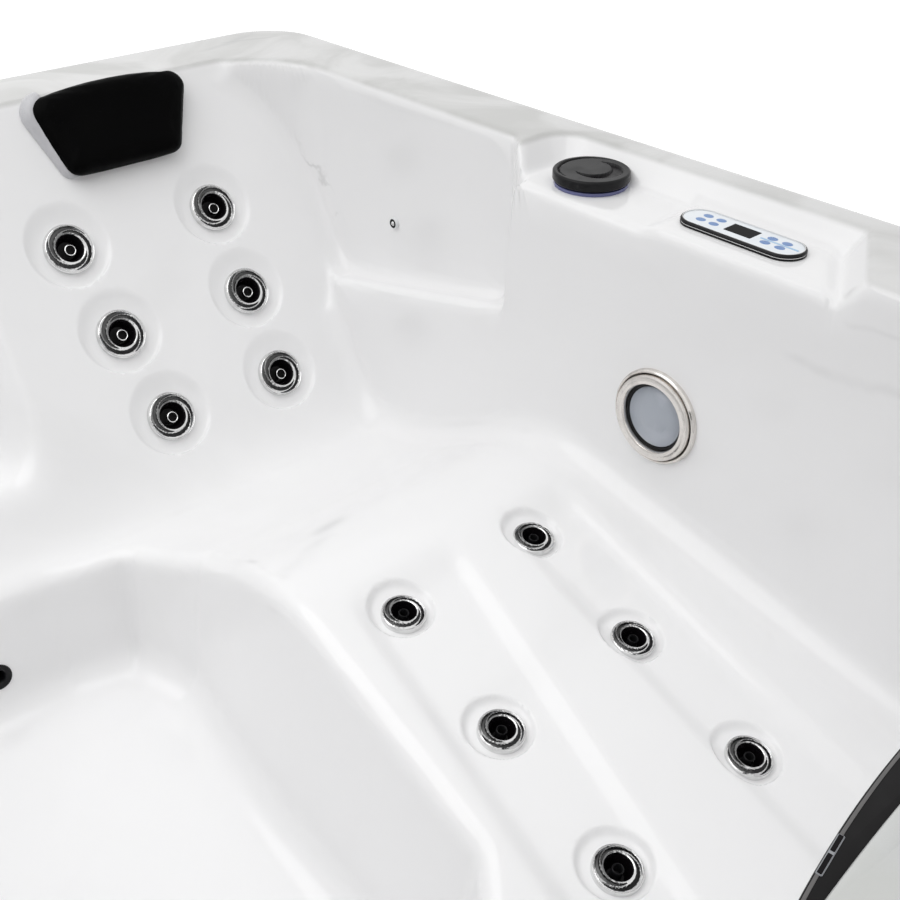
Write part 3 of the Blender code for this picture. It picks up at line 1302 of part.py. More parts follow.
def add_pump():
    start = PUMP_X + GAP
    inlet = WET_END_LENGTH + WET_END_STUB
    wet = [(0, 0), (WET_END_RADIUS, 0), (WET_END_RADIUS, WET_END_LENGTH),
           (PIPE_RADIUS, WET_END_LENGTH), (PIPE_RADIUS, inlet), (0, inlet)]
    along_x = Vector((1, 0, 0))
    wet_end = add_turned("pump_wet_end", wet, PUMP_STEPS, "black_plastic",
                         Vector((start, PUMP_Y, PUMP_Z)), along_x)
    riser = add_cylinder_cutter("pump_outlet", PIPE_RADIUS, 0, WET_END_RADIUS + WET_END_STUB,
                                PUMP_STEPS, Vector((start + WET_END_LENGTH / 2, PUMP_Y, PUMP_Z)))
    cut(wet_end, riser, "UNION")
    body = [(0, 0), (MOTOR_RADIUS, 0), (MOTOR_RADIUS, MOTOR_LENGTH), (0, MOTOR_LENGTH)]
    motor = add_turned("pump_motor", body, PUMP_STEPS, "motor",
                       Vector((PUMP_X - MOTOR_LENGTH, PUMP_Y, PUMP_Z)), along_x)
    half = MOTOR_FOOT_WIDTH / 2
    foot = add_box("motor_foot", (PUMP_X - MOTOR_LENGTH / 2 - half, PUMP_Y - half, PAN_TOP),
                   (PUMP_X - MOTOR_LENGTH / 2 + half, PUMP_Y + half, PUMP_Z), None, group=CUTTERS)
    cut(motor, mark_cutter(foot), "UNION")


def add_heater_pack():
    x = -side_x(PACK_DECK)
    y = -HALF_LENGTH + PACK_INSET
    low = PAN_TOP + HEATER_RADIUS
    tube = [(0, 0), (HEATER_RADIUS, 0), (HEATER_RADIUS, HEATER_LENGTH), (0, HEATER_LENGTH)]
    add_turned("heater", tube, JET_STEPS, "steel", Vector((x - HEATER_LENGTH / 2, y, low)),
               Vector((1, 0, 0)))
    bottom = low + HEATER_RADIUS + GAP
    add_box("control_box", (x - BOX_LENGTH / 2, y - BOX_WIDTH / 2, bottom),
            (x + BOX_LENGTH / 2, y + BOX_WIDTH / 2, bottom + BOX_HEIGHT), "grey_plastic")


def add_pipes(suction_end, suction_axis):
    outlet = Vector((PUMP_X + GAP + WET_END_LENGTH / 2, PUMP_Y,
                     PUMP_Z + WET_END_RADIUS + WET_END_STUB + GAP))
    inlet = Vector((PUMP_X + GAP * 2 + WET_END_LENGTH + WET_END_STUB, PUMP_Y, PUMP_Z))
    valve = Vector((side_x(DIVERTER_DECK), head_y(DIVERTER_DISTANCE),
                    PLATEAU_LEVEL - DIVERTER_PORT_DEPTH))
    port = valve.y - DIVERTER_BODY_RADIUS - GAP
    feed = [outlet, (outlet.x, PUMP_Y, SERVICE_LEVEL), (valve.x, PUMP_Y, SERVICE_LEVEL),
            (valve.x, port - PIPE_LEAD, SERVICE_LEVEL), (valve.x, port - PIPE_LEAD, valve.z),
            (valve.x, port, valve.z)]
    add_tube("pressure_pipe", round_route(feed, PIPE_BEND), PIPE_RADIUS, "white_plastic")
    tail = suction_end - suction_axis * PIPE_LEAD
    down = Vector((tail.x, tail.y - PIPE_LEAD, PUMP_Z))
    turn_x = inlet.x + PIPE_LEAD * 2
    draw = [suction_end, tail, down, (turn_x, down.y, PUMP_Z), (turn_x, PUMP_Y, PUMP_Z), inlet]
    add_tube("suction_pipe", round_route(draw, PIPE_BEND), PIPE_RADIUS, "white_plastic")
    add_back_manifold(valve)
    add_leg_manifold(valve)


def manifold_rows(places, axis):
    """Tube ends and jets behind a left and a right row, each from the first jet to the last."""
    back = JET_SEAT_SINK + JET_BODY_LENGTH + MANIFOLD_RADIUS
    places = [place - axis * back for place in places]
    rows = []
    for row in (places[:JETS_IN_ROW], places[JETS_IN_ROW:]):
        end = (row[0] - row[-1]).normalized() * MANIFOLD_END
        rows.append((row[0] + end, row[-1] - end))
    return rows


def add_back_manifold(valve):
    """From the valve down under the ledge, then behind the right and the left row."""
    left, right = manifold_rows(list(back_jet_places()), BACK_AXIS)
    bottom = PLATEAU_LEVEL - DIVERTER_BODY_LENGTH - GAP
    route = [(valve.x, valve.y, bottom), (valve.x, valve.y, BACK_PIPE_LEVEL),
             (valve.x, right[1].y, BACK_PIPE_LEVEL), right[1], right[0], left[0], left[1]]
    add_tube("back_manifold", round_route(route, MANIFOLD_BEND), MANIFOLD_RADIUS, "white_plastic")


def add_leg_manifold(valve):
    """From the valve down, then under the right and the left row of the leg rest."""
    left, right = manifold_rows(list(leg_jet_places()), LEG_AXIS)
    start = valve.y + DIVERTER_BODY_RADIUS + GAP
    down = start + MANIFOLD_LEAD
    route = [(valve.x, start, valve.z), (valve.x, down, valve.z), (valve.x, down, right[0].z),
             (right[0].x, down, right[0].z), right[0], right[1], left[1], left[0]]
    add_tube("leg_manifold", round_route(route, MANIFOLD_BEND), MANIFOLD_RADIUS, "white_plastic")


def add_drain():
    """Pull-out drain valve in a sleeve through the foot panel."""
    place = Vector((-side_x(DRAIN_DECK), -CABINET_Y, DRAIN_HEIGHT))
    out = Vector((0, -1, 0))
    panel = bpy.data.objects["panel_foot_end"]
    hole = add_cylinder_cutter("drain_hole", DRAIN_RADIUS + GAP, -CABINET_WALL * 2, CABINET_WALL,
                               JET_STEPS, place, out)
    cut(panel, hole)
    wall = DRAIN_WALL
    lip = wall - GAP
    plug = DRAIN_RADIUS - wall
    sleeve = [(DRAIN_FLANGE, GAP), (DRAIN_FLANGE, lip), (plug, lip), (plug, -DRAIN_LENGTH),
              (DRAIN_RADIUS, -DRAIN_LENGTH), (DRAIN_RADIUS, GAP)]
    add_turned("drain_sleeve", sleeve, JET_STEPS, "white_plastic", place, out)
    inner = plug - GAP * 2
    head = lip + GAP
    stem = [(0, -DRAIN_LENGTH), (inner, -DRAIN_LENGTH), (inner, head), (plug + wall, head),
            (plug + wall, head + wall), (0, head + wall)]
    add_turned("drain_plug", stem, JET_STEPS, "grey_plastic", place, out)


add_jets()
add_diverter()
add_control_panel()
add_light()
add_sensor()
add_return_fitting()
SUCTION_END, SUCTION_AXIS = add_suction()
add_pillow()
add_skimmer()
even_shading(SHELL)
add_pan()
add_side_panels()
add_end_panels()
add_frame()
add_pump()
add_heater_pack()
add_pipes(SUCTION_END, SUCTION_AXIS)
add_drain()
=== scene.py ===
"""Dressed model of an acrylic hot tub: veined skin, swirl jets, controls, pillow and cabinet.

Metres, +Z up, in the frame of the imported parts. Every piece rides on the body that
carries it, and the loaded parts that keep their shape get their finish here.
"""
import math

import bmesh
import bpy
import numpy as np
from mathutils import Matrix, Vector


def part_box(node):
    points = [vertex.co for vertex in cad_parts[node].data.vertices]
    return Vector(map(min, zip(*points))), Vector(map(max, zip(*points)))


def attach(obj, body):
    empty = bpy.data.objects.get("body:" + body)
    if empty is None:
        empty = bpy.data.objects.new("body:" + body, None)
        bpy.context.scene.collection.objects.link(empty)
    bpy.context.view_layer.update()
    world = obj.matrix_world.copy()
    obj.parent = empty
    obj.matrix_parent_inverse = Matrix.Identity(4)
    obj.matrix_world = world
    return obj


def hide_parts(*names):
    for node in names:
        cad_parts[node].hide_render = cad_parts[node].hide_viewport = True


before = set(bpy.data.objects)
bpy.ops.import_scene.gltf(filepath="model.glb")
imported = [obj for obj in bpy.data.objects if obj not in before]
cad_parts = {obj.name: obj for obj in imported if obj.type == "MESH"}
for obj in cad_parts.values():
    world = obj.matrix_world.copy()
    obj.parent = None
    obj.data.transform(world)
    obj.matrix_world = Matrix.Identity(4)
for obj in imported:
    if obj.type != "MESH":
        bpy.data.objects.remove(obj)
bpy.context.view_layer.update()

# Tub
TUB_LENGTH = 1.90
TUB_WIDTH = 1.50
RIM_HEIGHT = 0.80
RIM_CORNER_RADIUS = 0.10
RIM_EDGE_RADIUS = 0.016
SKIRT_HEIGHT = 0.050
SHELL_WALL = 0.009
GAP = 0.0003

# Decks: width of the rim from the outer edge to the basin
HEAD_DECK = 0.130
FOOT_DECK = 0.303
LEFT_DECK = 0.115
CONTROL_DECK = 0.153
RECESS_DECK = 0.102

# Basin walls
BASIN_CORNER_RADIUS = 0.15
WALL_DRAFT = math.radians(2.0)
BASIN_EDGE_RADIUS = 0.013
BASIN_FILLET_RADIUS = 0.045

# Upper recess beside the backrest, with its armrest ledge
RECESS_START = 0.756
RECESS_FOOT_RADIUS = 0.022
RECESS_BLEND = 0.060
RECESS_LEAN_REACH = 0.060
RECESS_LEAN_END = 0.32
RECESS_LEAN_FADE = 0.25
SEAT_SOFT_X = -0.35
SEAT_SOFT_Y = 0.10
SEAT_SOFT_LEAD = 0.20
SEAT_SOFT_FILLET = 0.075
LEDGE_DEPTH = 0.212
LEDGE_SLOPE = math.tan(math.radians(13.5))
LEDGE_FILLET_RADIUS = 0.020

# Control plateau, and the raised pad under the panel
PLATEAU_DECK = 0.036
PLATEAU_START = 0.716
PLATEAU_HEAD_RADIUS = 0.050
PLATEAU_END = 1.222
PLATEAU_DEPTH = 0.034
PLATEAU_DRAFT = math.radians(40.0)
PLATEAU_EDGE_RADIUS = 0.010
PAD_START = 0.955
PAD_END = 1.193
PAD_DECK = 0.052
PAD_HEIGHT = 0.008
PAD_EDGE = 0.026
PAD_SLANT = 0.60
SLANT_START = 0.95
SLANT_LEAD = 0.12

# Lounger: backrest, seat, knee and leg rest
BACKREST_RECLINE = math.radians(33.0)
SEAT_DEPTH = 0.508
SEAT_BLEND = 0.070
KNEE_DISTANCE = 0.850
KNEE_DEPTH = 0.352
KNEE_FLANK = math.tan(math.radians(29.0))
KNEE_BLEND = 0.070
LEG_SLOPE = math.tan(math.radians(10.5))
LOUNGER_LEFT = 0.695
BACKREST_STEP = 0.070
BACKREST_STEP_START = 0.75
ARM_LEVEL = 0.380
ARM_START = -0.42
ARM_LEAD = 0.36
ARM_BLEND = 0.035
LEFT_SEAT_RECLINE = math.radians(17.0)

# Channels in the leg rest, one along each row of jets
CHANNEL_DEPTH = 0.011
CHANNEL_BANK = 0.034
CHANNEL_LEAD = 0.060
CHANNELS = ((0.5125, 0.0715, 0.072, 0.016), (0.3025, 0.0385, 0.050, 0.000))

# Footwell: each corner by its distances from the nearest side and the nearest end
WELL_LEVEL = 0.125
WELL_DRAFT = math.radians(9.0)
WELL_EDGE_RADIUS = 0.026
WELL_FILLET_RADIUS = 0.050
WELL_CORNER_RADIUS = 0.060
WELL_KNEE = (0.597, 0.650)
WELL_SEAT_CORNER = (0.647, 0.508)
WELL_SEAT_MIDDLE = (0.770, 0.478)
WELL_SEAT_LEFT = (0.320, 0.455)
WELL_LEFT = (0.200, 0.560)
WELL_LEFT_FOOT = (0.200, 0.740)
WELL_FOOT_LEFT = (0.350, 0.590)
WELL_FOOT_RIGHT = (0.690, 0.590)
WELL_LOUNGER = (0.645, 0.650)

# Back jets: two rows of three, by their distances from the control side and the head end
BACK_JET_RADIUS = 0.038
BACK_JET_LEFT = 0.546
BACK_JET_RIGHT = 0.309
BACK_JET_TOP_DEPTH = 0.181
BACK_JET_STEP_DOWN = 0.1145
BACK_JET_TAPER = 0.022
# Leg jets: two rows of three
LEG_JET_RADIUS = 0.0275
LEG_JET_LEFT = 0.537
LEG_JET_RIGHT = 0.330
LEG_JET_FIRST_SHARE = 0.1673
LEG_JET_STEP_SHARE = 0.2383
LEG_JET_TAPER = 0.016
JETS_IN_ROW = 3

HALF_LENGTH = TUB_LENGTH / 2
HALF_WIDTH = TUB_WIDTH / 2
PLATEAU_LEVEL = RIM_HEIGHT - PLATEAU_DEPTH
PAD_LEVEL = PLATEAU_LEVEL + PAD_HEIGHT
WELL_DEPTH = RIM_HEIGHT - WELL_LEVEL
LEG_REST = TUB_LENGTH - FOOT_DECK - KNEE_DISTANCE
LEG_JET_FIRST = KNEE_DISTANCE + LEG_REST * LEG_JET_FIRST_SHARE
LEG_JET_STEP = LEG_REST * LEG_JET_STEP_SHARE

# Finer tub skin
GRID_ACROSS = 170
GRID_ALONG = 216
GRID_FINER = 2
SPREAD_ROUNDS = 80
SPREAD_SHARE = 0.5
STEEPEST_WEIGHT = 6.0
NEIGHBOURS = ((slice(2, None), slice(1, -1)), (slice(None, -2), slice(1, -1)),
              (slice(1, -1), slice(2, None)), (slice(1, -1), slice(None, -2)))
SEARCH_ROUNDS = 30
OVERRUN = 0.004
HOLE_SHARE = 0.82
DISH_REACH = 1.25
DISH_CUTS = 1
PANEL_COVER = 0.004
LID_SWING = 0.004
SKIMMER_REACH = -0.55
SKIN_SHARP = math.radians(50)

# Edges and rounds of the dressed pieces
SHARP_ANGLE = math.radians(32)
ROUND_STEPS = 64
ROUND_REACH = 0.45
EDGE_CUT = 0.3
CUTTER_EDGE = 0.0002
FACING_UP = 0.1

# Jets: seat and dish
JET_SEAT_SINK = 0.0066
JET_FLANGE = 0.0020
BACK_DISH_SHARE = 1.62
LEG_DISH_SHARE = 1.44
DISH_MARGIN = 0.0035
DISH_DEPTH = 0.0066
DISH_OFFSET = 0.005
DISH_POWER = 2.6

# Jets: profiles by shares of the radius, and heights above the seat
LIP_PROFILE = ((1.0, -0.0030), (1.0, 0.0020), (0.994, 0.0030), (0.980, 0.0037), (0.964, 0.0038),
               (0.950, 0.0034), (0.942, 0.0028))
SWIRL_PROFILE = ((0.55, 0.0048), (0.565, 0.0060), (0.61, 0.0067), (0.72, 0.0063), (0.85, 0.0049),
                 (0.930, 0.0032))
MOUTH_HEIGHTS = (0.0030, 0.0006)
CUP_PROFILE = ((0.17, -0.0150), (0.42, -0.0150), (0.48, -0.0080), (0.547, 0.0010),
               (0.547, 0.0044), (0.535, 0.0046), (0.50, 0.0016), (0.45, -0.0060),
               (0.40, -0.0105), (0.35, -0.0125), (0.17, -0.0132))
NOZZLE_PROFILE = ((0.235, -0.0128), (0.235, -0.0012), (0.228, -0.0002), (0.208, 0.0002),
                  (0.188, -0.0002), (0.180, -0.0012), (0.180, -0.0128))
SWIRL_STEPS = 120
SWIRL_RINGS = 22
CRESCENTS = 3
CRESCENT_SPAN = math.radians(192)
CRESCENT_OUTER = 0.880
CRESCENT_INNER = 0.640
CRESCENT_HALF = 0.080
CRESCENT_TAPER = 0.55
CRESCENT_EDGE = 0.020
CRESCENT_DEPTH = 0.0022
# Share of the crescent depth past which a floor takes the painted shadow finish
SHADOW_DEPTH_SHARE = 0.5
JET_ROLL = 0.4
JET_ROLL_STEP = 0.35
BEZEL_SCALE = 0.95
# Painted dark reflection on each bezel: the side it darkens, the ring of shares it covers, its soft
# edge and its gain
REFLECTION_TOWARD = Vector((-0.60, 0.80))
REFLECTION_ZONE = (0.50, 0.93)
REFLECTION_EDGE = 0.04
REFLECTION_GAIN = 0.9
NOZZLE_SHIFT = Vector((0.0016, -0.0018, 0.0))
LEG_NOZZLE_RISE = 0.0032

# Diverter knob
DIVERTER_RADIUS = 0.0485
DIVERTER_HEIGHT = 0.019
DIVERTER_DECK = 0.100
DIVERTER_DISTANCE = 0.825
KNOB_LOW = 0.0064
KNOB_EDGE = 0.0016
KNOB_RINGS = 46
KNOB_STEPS = 144
KNOB_DISH = 0.0006
KNOB_MOON_DEPTH = 0.0030
KNOB_MOON_EDGE = 0.035
KNOB_FLOOR = 0.15
KNOB_TURN = math.radians(138.5)
KNOB_MOONS = (((0.18, -0.05, 0.62), (0.02, 0.12, 0.50)), ((0.0, 0.0, 0.885), (0.07, -0.08, 0.885)))

# Control panel
PANEL_LENGTH = 0.160
PANEL_WIDTH = 0.050
PANEL_DECK = 0.112
PANEL_DISTANCE = 1.062
PANEL_BEZEL_HEIGHT = 0.0065
PANEL_BEZEL_RIM = 0.0022
PANEL_END_STEPS = 20
FILM_TOP = 0.0064
FILM_LOW = 0.0040
KEY_RISE = 0.0006
KEY_RADIUS = 0.0052
KEY_STRETCH = 1.25
KEY_OFFSET = 0.0072
KEY_PLACES = (0.052, 0.034, -0.035, -0.054)
DISPLAY_HALF = (0.0115, 0.018)
BAND_HALF = 0.0016
BAND_ENDS = (-0.024, -0.073)
BAND_RISE = GAP * 1.6

# Light
LIGHT_RADIUS = 0.0615
LIGHT_DISTANCE = 1.020
LIGHT_DEPTH = 0.255

# Sensor and water fittings
SENSOR_RADIUS = 0.0080
SENSOR_DISTANCE = 0.459
SENSOR_DEPTH = 0.193
RETURN_RADIUS = 0.019
RETURN_DECK = 0.865
RETURN_RISE = 0.058
SUCTION_RADIUS = 0.050
SUCTION_RISE = 0.115

# Pillow
PILLOW_CORNERS = ((-0.098, -0.121), (0.077, -0.121), (0.134, -0.004), (-0.124, -0.006))
PILLOW_BOW = 0.012
PILLOW_BOW_HALF = 0.120
PILLOW_BOW_FOOT = -0.070
PILLOW_SPANS = 7
PILLOW_TOP_WIDTH = 0.240
PILLOW_LENGTH = 0.120
PILLOW_THICKNESS = 0.0305
PILLOW_BASE = 0.0040
PILLOW_DECK = 0.408
PILLOW_TOP_DEPTH = 0.004
PILLOW_CORNER = 0.019
PILLOW_CORNER_STEPS = 8
PILLOW_FORM = ((0.93, 0.0), (0.97, 0.10), (1.0, 0.30), (0.99, 0.55), (0.95, 0.76), (0.86, 0.92),
               (0.66, 0.98), (0.25, 0.97))
# Backing: margins and heights round it, and the tall flank at its -X side
BACKING_EDGE = ((-0.0050, -0.0012), (-0.0040, 0.0004), (-0.0040, 0.0016), (-0.0040, 0.0024),
                (-0.0050, 0.0030), (-0.0070, 0.0034), (-0.0120, 0.0036))
BACKING_FLANK = ((0.0120, -0.0012), (0.0132, 0.0008), (0.0124, 0.0060), (0.0100, 0.0130),
                 (0.0062, 0.0185), (0.0010, 0.0212), (-0.0080, 0.0215))
FLANK_START = -0.092
FLANK_BLEND = 0.020
FLANK_TAPER = 0.50
PILLOW_VOXEL = 0.004
PILLOW_SMOOTH = 6
PILLOW_HOLLOW = 0.004
CLOTH_PRESSURE = 4.0
CLOTH_STEPS = 20
CLOTH_CAP = 0.0015
CLOTH_LEAST = CLOTH_CAP / 10

# Skimmer
SKIMMER_DECK = 0.600
SKIMMER_HALF = 0.200
SKIMMER_BOW = 0.024
SKIMMER_BACK_BOW = 0.0109
SKIMMER_BACK_LINE = -0.6545
LID_FRONT_LINE = -0.6538
LID_FRONT_BOW = 0.0107
SKIMMER_ARC_STEPS = 36
MOUTH_WIDTH = 0.250
MOUTH_MARGIN = 0.003
WEIR_THICKNESS = 0.008
WEIR_CLEARANCE = 0.003
WEIR_RIBS = 12
WEIR_RIB_DEPTH = 0.0015
PIN_RADIUS = 0.003
PIN_REACH = 0.003
FRONT_EDGE = 0.0012
CATCH_ACROSS = -0.1525
CATCH_INSET = 0.0028
CATCH_WIDTH = 0.0026
CATCH_RISE = 0.0008
CATCH_SINK = 0.0020
CATCH_FRAME = 0.0006
CATCH_SLOTS = ((-0.0115, 0.0032), (0.0052, 0.0176))
# Painted highlight strip along the front: its reach and width
STRIP_REACH = 0.985
STRIP_WIDTH = 0.0020
LID_SIDE = 0.0045
LID_EDGE = 0.0030
LID_HOLLOW = 0.040
LID_RIBS = 5
LID_RIB_START = 0.030
LID_RIB_PITCH = 0.018
LID_RIB_WIDTH = 0.006
LID_RIB_REACH = 0.86
LID_RIB_RISE = 0.0015
LID_RIB_ROUND = LID_RIB_RISE * 0.8
LID_PIN_INSET = 0.006

# Profiles and steps of the light, the fittings, the knob and the panel
LIGHT_STEPS = 96
LIGHT_BEZEL_PROFILE = ((0.76, -0.0028), (1.0, -0.0028), (1.0, 0.0012), (0.993, 0.0030),
                       (0.982, 0.0044), (0.962, 0.0058), (0.940, 0.0060), (0.924, 0.0050),
                       (0.917, 0.0030), (0.906, 0.0030), (0.900, 0.0060), (0.892, 0.0084),
                       (0.880, 0.0098), (0.862, 0.0104), (0.742, 0.0106), (0.722, 0.0100),
                       (0.708, 0.0086), (0.702, 0.0066), (0.702, 0.0010), (0.76, 0.0004))
# Black rings painted as the shadow in the bezel's groove and in the gap round the lens
LIGHT_GROOVE_SHADOW = ((0.907, 0.0022), (0.916, 0.0022), (0.916, 0.0037), (0.907, 0.0037))
LIGHT_GAP_SHADOW = ((0.632, -0.0002), (0.700, -0.0002), (0.700, 0.0028), (0.690, 0.0034),
              (0.645, 0.0022), (0.632, 0.0006))
LIGHT_LENS_EDGE = 0.0388
LENS_LOW = 0.0002
LENS_HIGH = 0.0022
LENS_DOME = 0.0034
LENS_RIBS = 14
LENS_RIB = ((0.0, 0.0), (0.35, 0.0005), (0.65, 0.0005))
LENS_RIB_PITCH = 0.034
LENS_MIDDLE = 0.45
SENSOR_PROFILE = ((0.5, -0.010), (0.5, -0.0012), (1.0, -0.0012), (1.0, 0.0048), (0.97, 0.0054),
                  (0.90, 0.0056), (0.80, 0.0056))
SENSOR_RING = ((0.86, 0.0050), (0.86, 0.0058), (0.80, 0.0062), (0.50, 0.0062), (0.44, 0.0056),
               (0.44, 0.0050))
SENSOR_TIP = ((0.42, 0.0050), (0.42, 0.0060), (0.34, 0.0066), (0.15, 0.0068))
RETURN_PROFILE = ((0.58, -0.020), (0.58, -0.0032), (1.0, -0.0032), (1.0, 0.0005), (0.95, 0.0022),
                  (0.82, 0.0030), (0.66, 0.0026), (0.55, 0.0010), (0.48, -0.0020), (0.45, -0.020))
COVER_PROFILE = ((0.88, -0.0032), (1.0, -0.0032), (1.0, 0.0020), (0.98, 0.0045), (0.94, 0.0075),
                 (0.88, 0.0105), (0.78, 0.0132), (0.60, 0.0148), (0.30, 0.0152), (0.30, 0.0120),
                 (0.60, 0.0116), (0.76, 0.0100), (0.85, 0.0070), (0.88, 0.0040))
COVER_STEPS = 96
COVER_SLOTS = 24
SLOT_LENGTH = 0.34
SLOT_WIDTH = 0.0030
SLOT_DEPTH = 0.0120
SLOT_MIDDLE = 0.66
SLOT_HEIGHT = 0.0130
KNOB_TOP_SHARE = 0.955
KNOB_FACE_SHARE = 0.93
KNOB_INNER_SHARE = 0.04
KNOB_SOCKET = 0.0115
CASE_HALF = (0.016, 0.054)
CASE_DEPTH = 0.036
TRIM_RISE = 0.0004
KEY_STEPS = 32
KEY_PROFILE = ((1.0, -0.5), (1.0, 0.3), (0.93, 0.7), (0.7, 0.9), (0.3, 1.0))
# Frame and seam of the panel by inset and share of the height; trim and film by inset and height
PANEL_RIM = ((0.0, 0.0), (0.0, 0.32), (0.0012, 0.34), (0.0012, 0.46), (0.0, 0.48), (0.0, 0.70),
             (0.0006, 0.88), (0.0014, 1.0), (0.0022, 1.0))
PANEL_SEAM = ((0.0014, 0.355), (0.0002, 0.355), (0.0002, 0.445), (0.0014, 0.445))
TRIM_LEVEL = PANEL_BEZEL_HEIGHT + TRIM_RISE
PANEL_TRIM = ((0.0022, FILM_LOW + GAP), (0.0022, TRIM_LEVEL),
              (0.0026, PANEL_BEZEL_HEIGHT + TRIM_RISE * 1.5), (0.0031, TRIM_LEVEL),
              (0.0031, FILM_LOW + GAP))
PANEL_FILM = ((0.0033, FILM_LOW + GAP), (0.0033, FILM_TOP - GAP), (0.0040, FILM_TOP),
              (0.0090, FILM_TOP + GAP))

# Cabinet
CABINET_WALL = 0.012
CABINET_INSET = 0.011
POST_REACH = 0.130
CORNER_STEPS = 16
BOARDS = 5
BOARD_EDGE = 0.002
GROOVE_WIDTH = 0.004
GROOVE_DEPTH = 0.003
DRAIN_RADIUS = 0.014
SCREW_INSET = 0.040
SCREW_ROWS = 3
SCREW_SINK = 0.0002
SCREW_STEPS = 20
SCREW_PROFILE = ((0.0045, 0.0), (0.0045, 0.0006), (0.0036, 0.0014), (0.0016, 0.0017))

# Studio: the photograph's camera, the floor, the sky and one soft lamp
CAMERA_PLACE = (-0.390, -0.785, 1.28)
CAMERA_TURN = math.radians(41.5)
CAMERA_PITCH = math.radians(33.7)
SENSOR_WIDTH = 36.0
FOCAL_LENGTH = 45.6
FLOOR_SIZE = 24.0
FLOOR_ROUGH = 0.9
FLOOR_LIFT = 0.60
SKY_HORIZON = 0.30
SKY_RISE = 0.86
LAMP_AIM = Vector((-0.3, 0.2, 0.4))
LAMPS = (("soft_key", (-0.92, 0.55, 2.4), 2.6, 23.5),)

# Colours and veins
ACRYLIC_WHITE = (0.865, 0.864, 0.868)
# Grey of the deck's painted shade, and of the faint cloudy haze over the acrylic
DECK_SHADE_AND_MOTTLE_GREY = (0.55, 0.55, 0.54)
DECK_LOW = 0.792
DECK_HIGH = 0.799
VEIN_GREY = (0.50, 0.50, 0.50)
VEIN_SCALE = 9.0
VEIN_DRIFT = 0.05
VEIN_REACH = 0.05
# Veins: both ends, the direction that the surface faces, half width and depth
VEINS = (((0.55, 0.872, 0.80), (0.69, 0.925, 0.80), (0, 0, 1), 0.012, 0.75),
         ((0.60, 0.905, 0.80), (0.70, 0.870, 0.80), (0, 0, 1), 0.006, 0.70),
         ((0.625, 0.745, 0.68), (0.645, 0.60, 0.46), (0, -0.84, 0.54), 0.0016, 0.40),
         ((0.58, -0.22, 0.690), (0.58, -0.38, 0.700), (-1, 0, 0), 0.010, 0.14),
         ((0.58, -0.28, 0.760), (0.58, -0.40, 0.745), (-1, 0, 0), 0.006, 0.12))
STEEL = (0.74, 0.74, 0.74)
STEEL_WARM = (0.72, 0.69, 0.66)
# Dark grey of the painted reflection on steel
METAL_PAINTED_REFLECTION = (0.09, 0.09, 0.09)
# Painted shadow on the floors of the jets' crescent grooves
GROOVE_SHADOW_STEEL = (0.035, 0.035, 0.036)
BLACK = (0.006, 0.006, 0.007)
BLACK_WORN = (0.018, 0.018, 0.019)
BAR_BLACK = (0.006, 0.0055, 0.006)
# Black of the jet cups, used too as painted shadow in the knob's crescents and the catch's slots
CUP_AND_SHADOW_BLACK = (0.004, 0.003, 0.004)
# Grey of the painted highlight along the skimmer front's top edge
HIGHLIGHT_GREY = (0.13, 0.125, 0.125)
KNOB_CHARCOAL = (0.011, 0.011, 0.012)
GREY_PLASTIC = (0.30, 0.31, 0.33)
GREY_DARK = (0.20, 0.20, 0.22)
BACKING_GREY = (0.52, 0.52, 0.54)
BACKING_SHADE = (0.40, 0.40, 0.42)
WHITE_PLASTIC = (0.76, 0.77, 0.78)
WHITE_WORN = (0.62, 0.63, 0.64)
LID_WHITE = (0.56, 0.57, 0.555)
COLLAR_BLUE = (0.13, 0.14, 0.30)
LENS_GREY = (0.37, 0.40, 0.45)
LENS_PALE = (0.46, 0.49, 0.55)
CUSHION_BLACK = (0.0009, 0.0009, 0.0010)
CUSHION_WORN = (0.0020, 0.0020, 0.0021)
CABINET_GREY = (0.115, 0.115, 0.122)
CABINET_DARK = (0.050, 0.050, 0.054)
CABINET_PALE = (0.170, 0.170, 0.176)
TIMBER_PALE = (0.62, 0.44, 0.25)
TIMBER_DARK = (0.42, 0.27, 0.13)
TIMBER_KNOT = (0.20, 0.11, 0.05)
PAPER_WHITE = (0.80, 0.80, 0.76)
PAPER_STAIN = (0.66, 0.64, 0.56)
FILM_WHITE = (0.80, 0.84, 0.88)
FILM_SHADE = (0.68, 0.74, 0.82)
KEY_BLUE = (0.13, 0.24, 0.50)
KEY_PALE = (0.26, 0.38, 0.60)
BAND_BLUE = (0.30, 0.50, 0.72)
DISPLAY_BLACK = (0.003, 0.003, 0.004)
MOTOR_BLUE = (0.05, 0.06, 0.08)
MOTOR_WORN = (0.09, 0.10, 0.12)
FLOOR_WHITE = (0.82, 0.82, 0.82)

# Noise by scale, detail, stretch and bend; clouds by a ramp's start and end and then a noise;
# reliefs by depth and strength
EVEN = (1.0, 1.0, 1.0)
MIX_FIRST = 6
MIX_SECOND = 7
ACRYLIC_PLAIN = 0.12
ACRYLIC_ROUGH = 0.10
SMEAR_ROUGH = 0.07
SMEAR_NOISE = (14.0, 3.0)
WAVE_NOISE = (9.0, 1.0)
WAVE_RELIEF = (0.0004, 0.25)
DECK_CLOUDS = (0.36, 0.66, 5.5, 4.0, EVEN, 1.2)
DECK_CLOUD_SHARE = 0.45
HAZE_CLOUDS = (0.50, 0.74, 2.4, 4.0, EVEN, 1.0)
HAZE_SHARE = 0.10
VEIN_DETAIL = 5.0
VEIN_ENDS = ((-0.05, 0.15), (1.05, 0.85))
VEIN_BREAKS = (0.35, 0.55, VEIN_SCALE * 1.7, 2.0)
SPOT_NOISE = (320.0, 2.0)
SPOT_RAMP = (0.55, 0.75)
SPOT_ROUGH = 0.10
SPOT_RELIEF = (0.00008, 0.3)
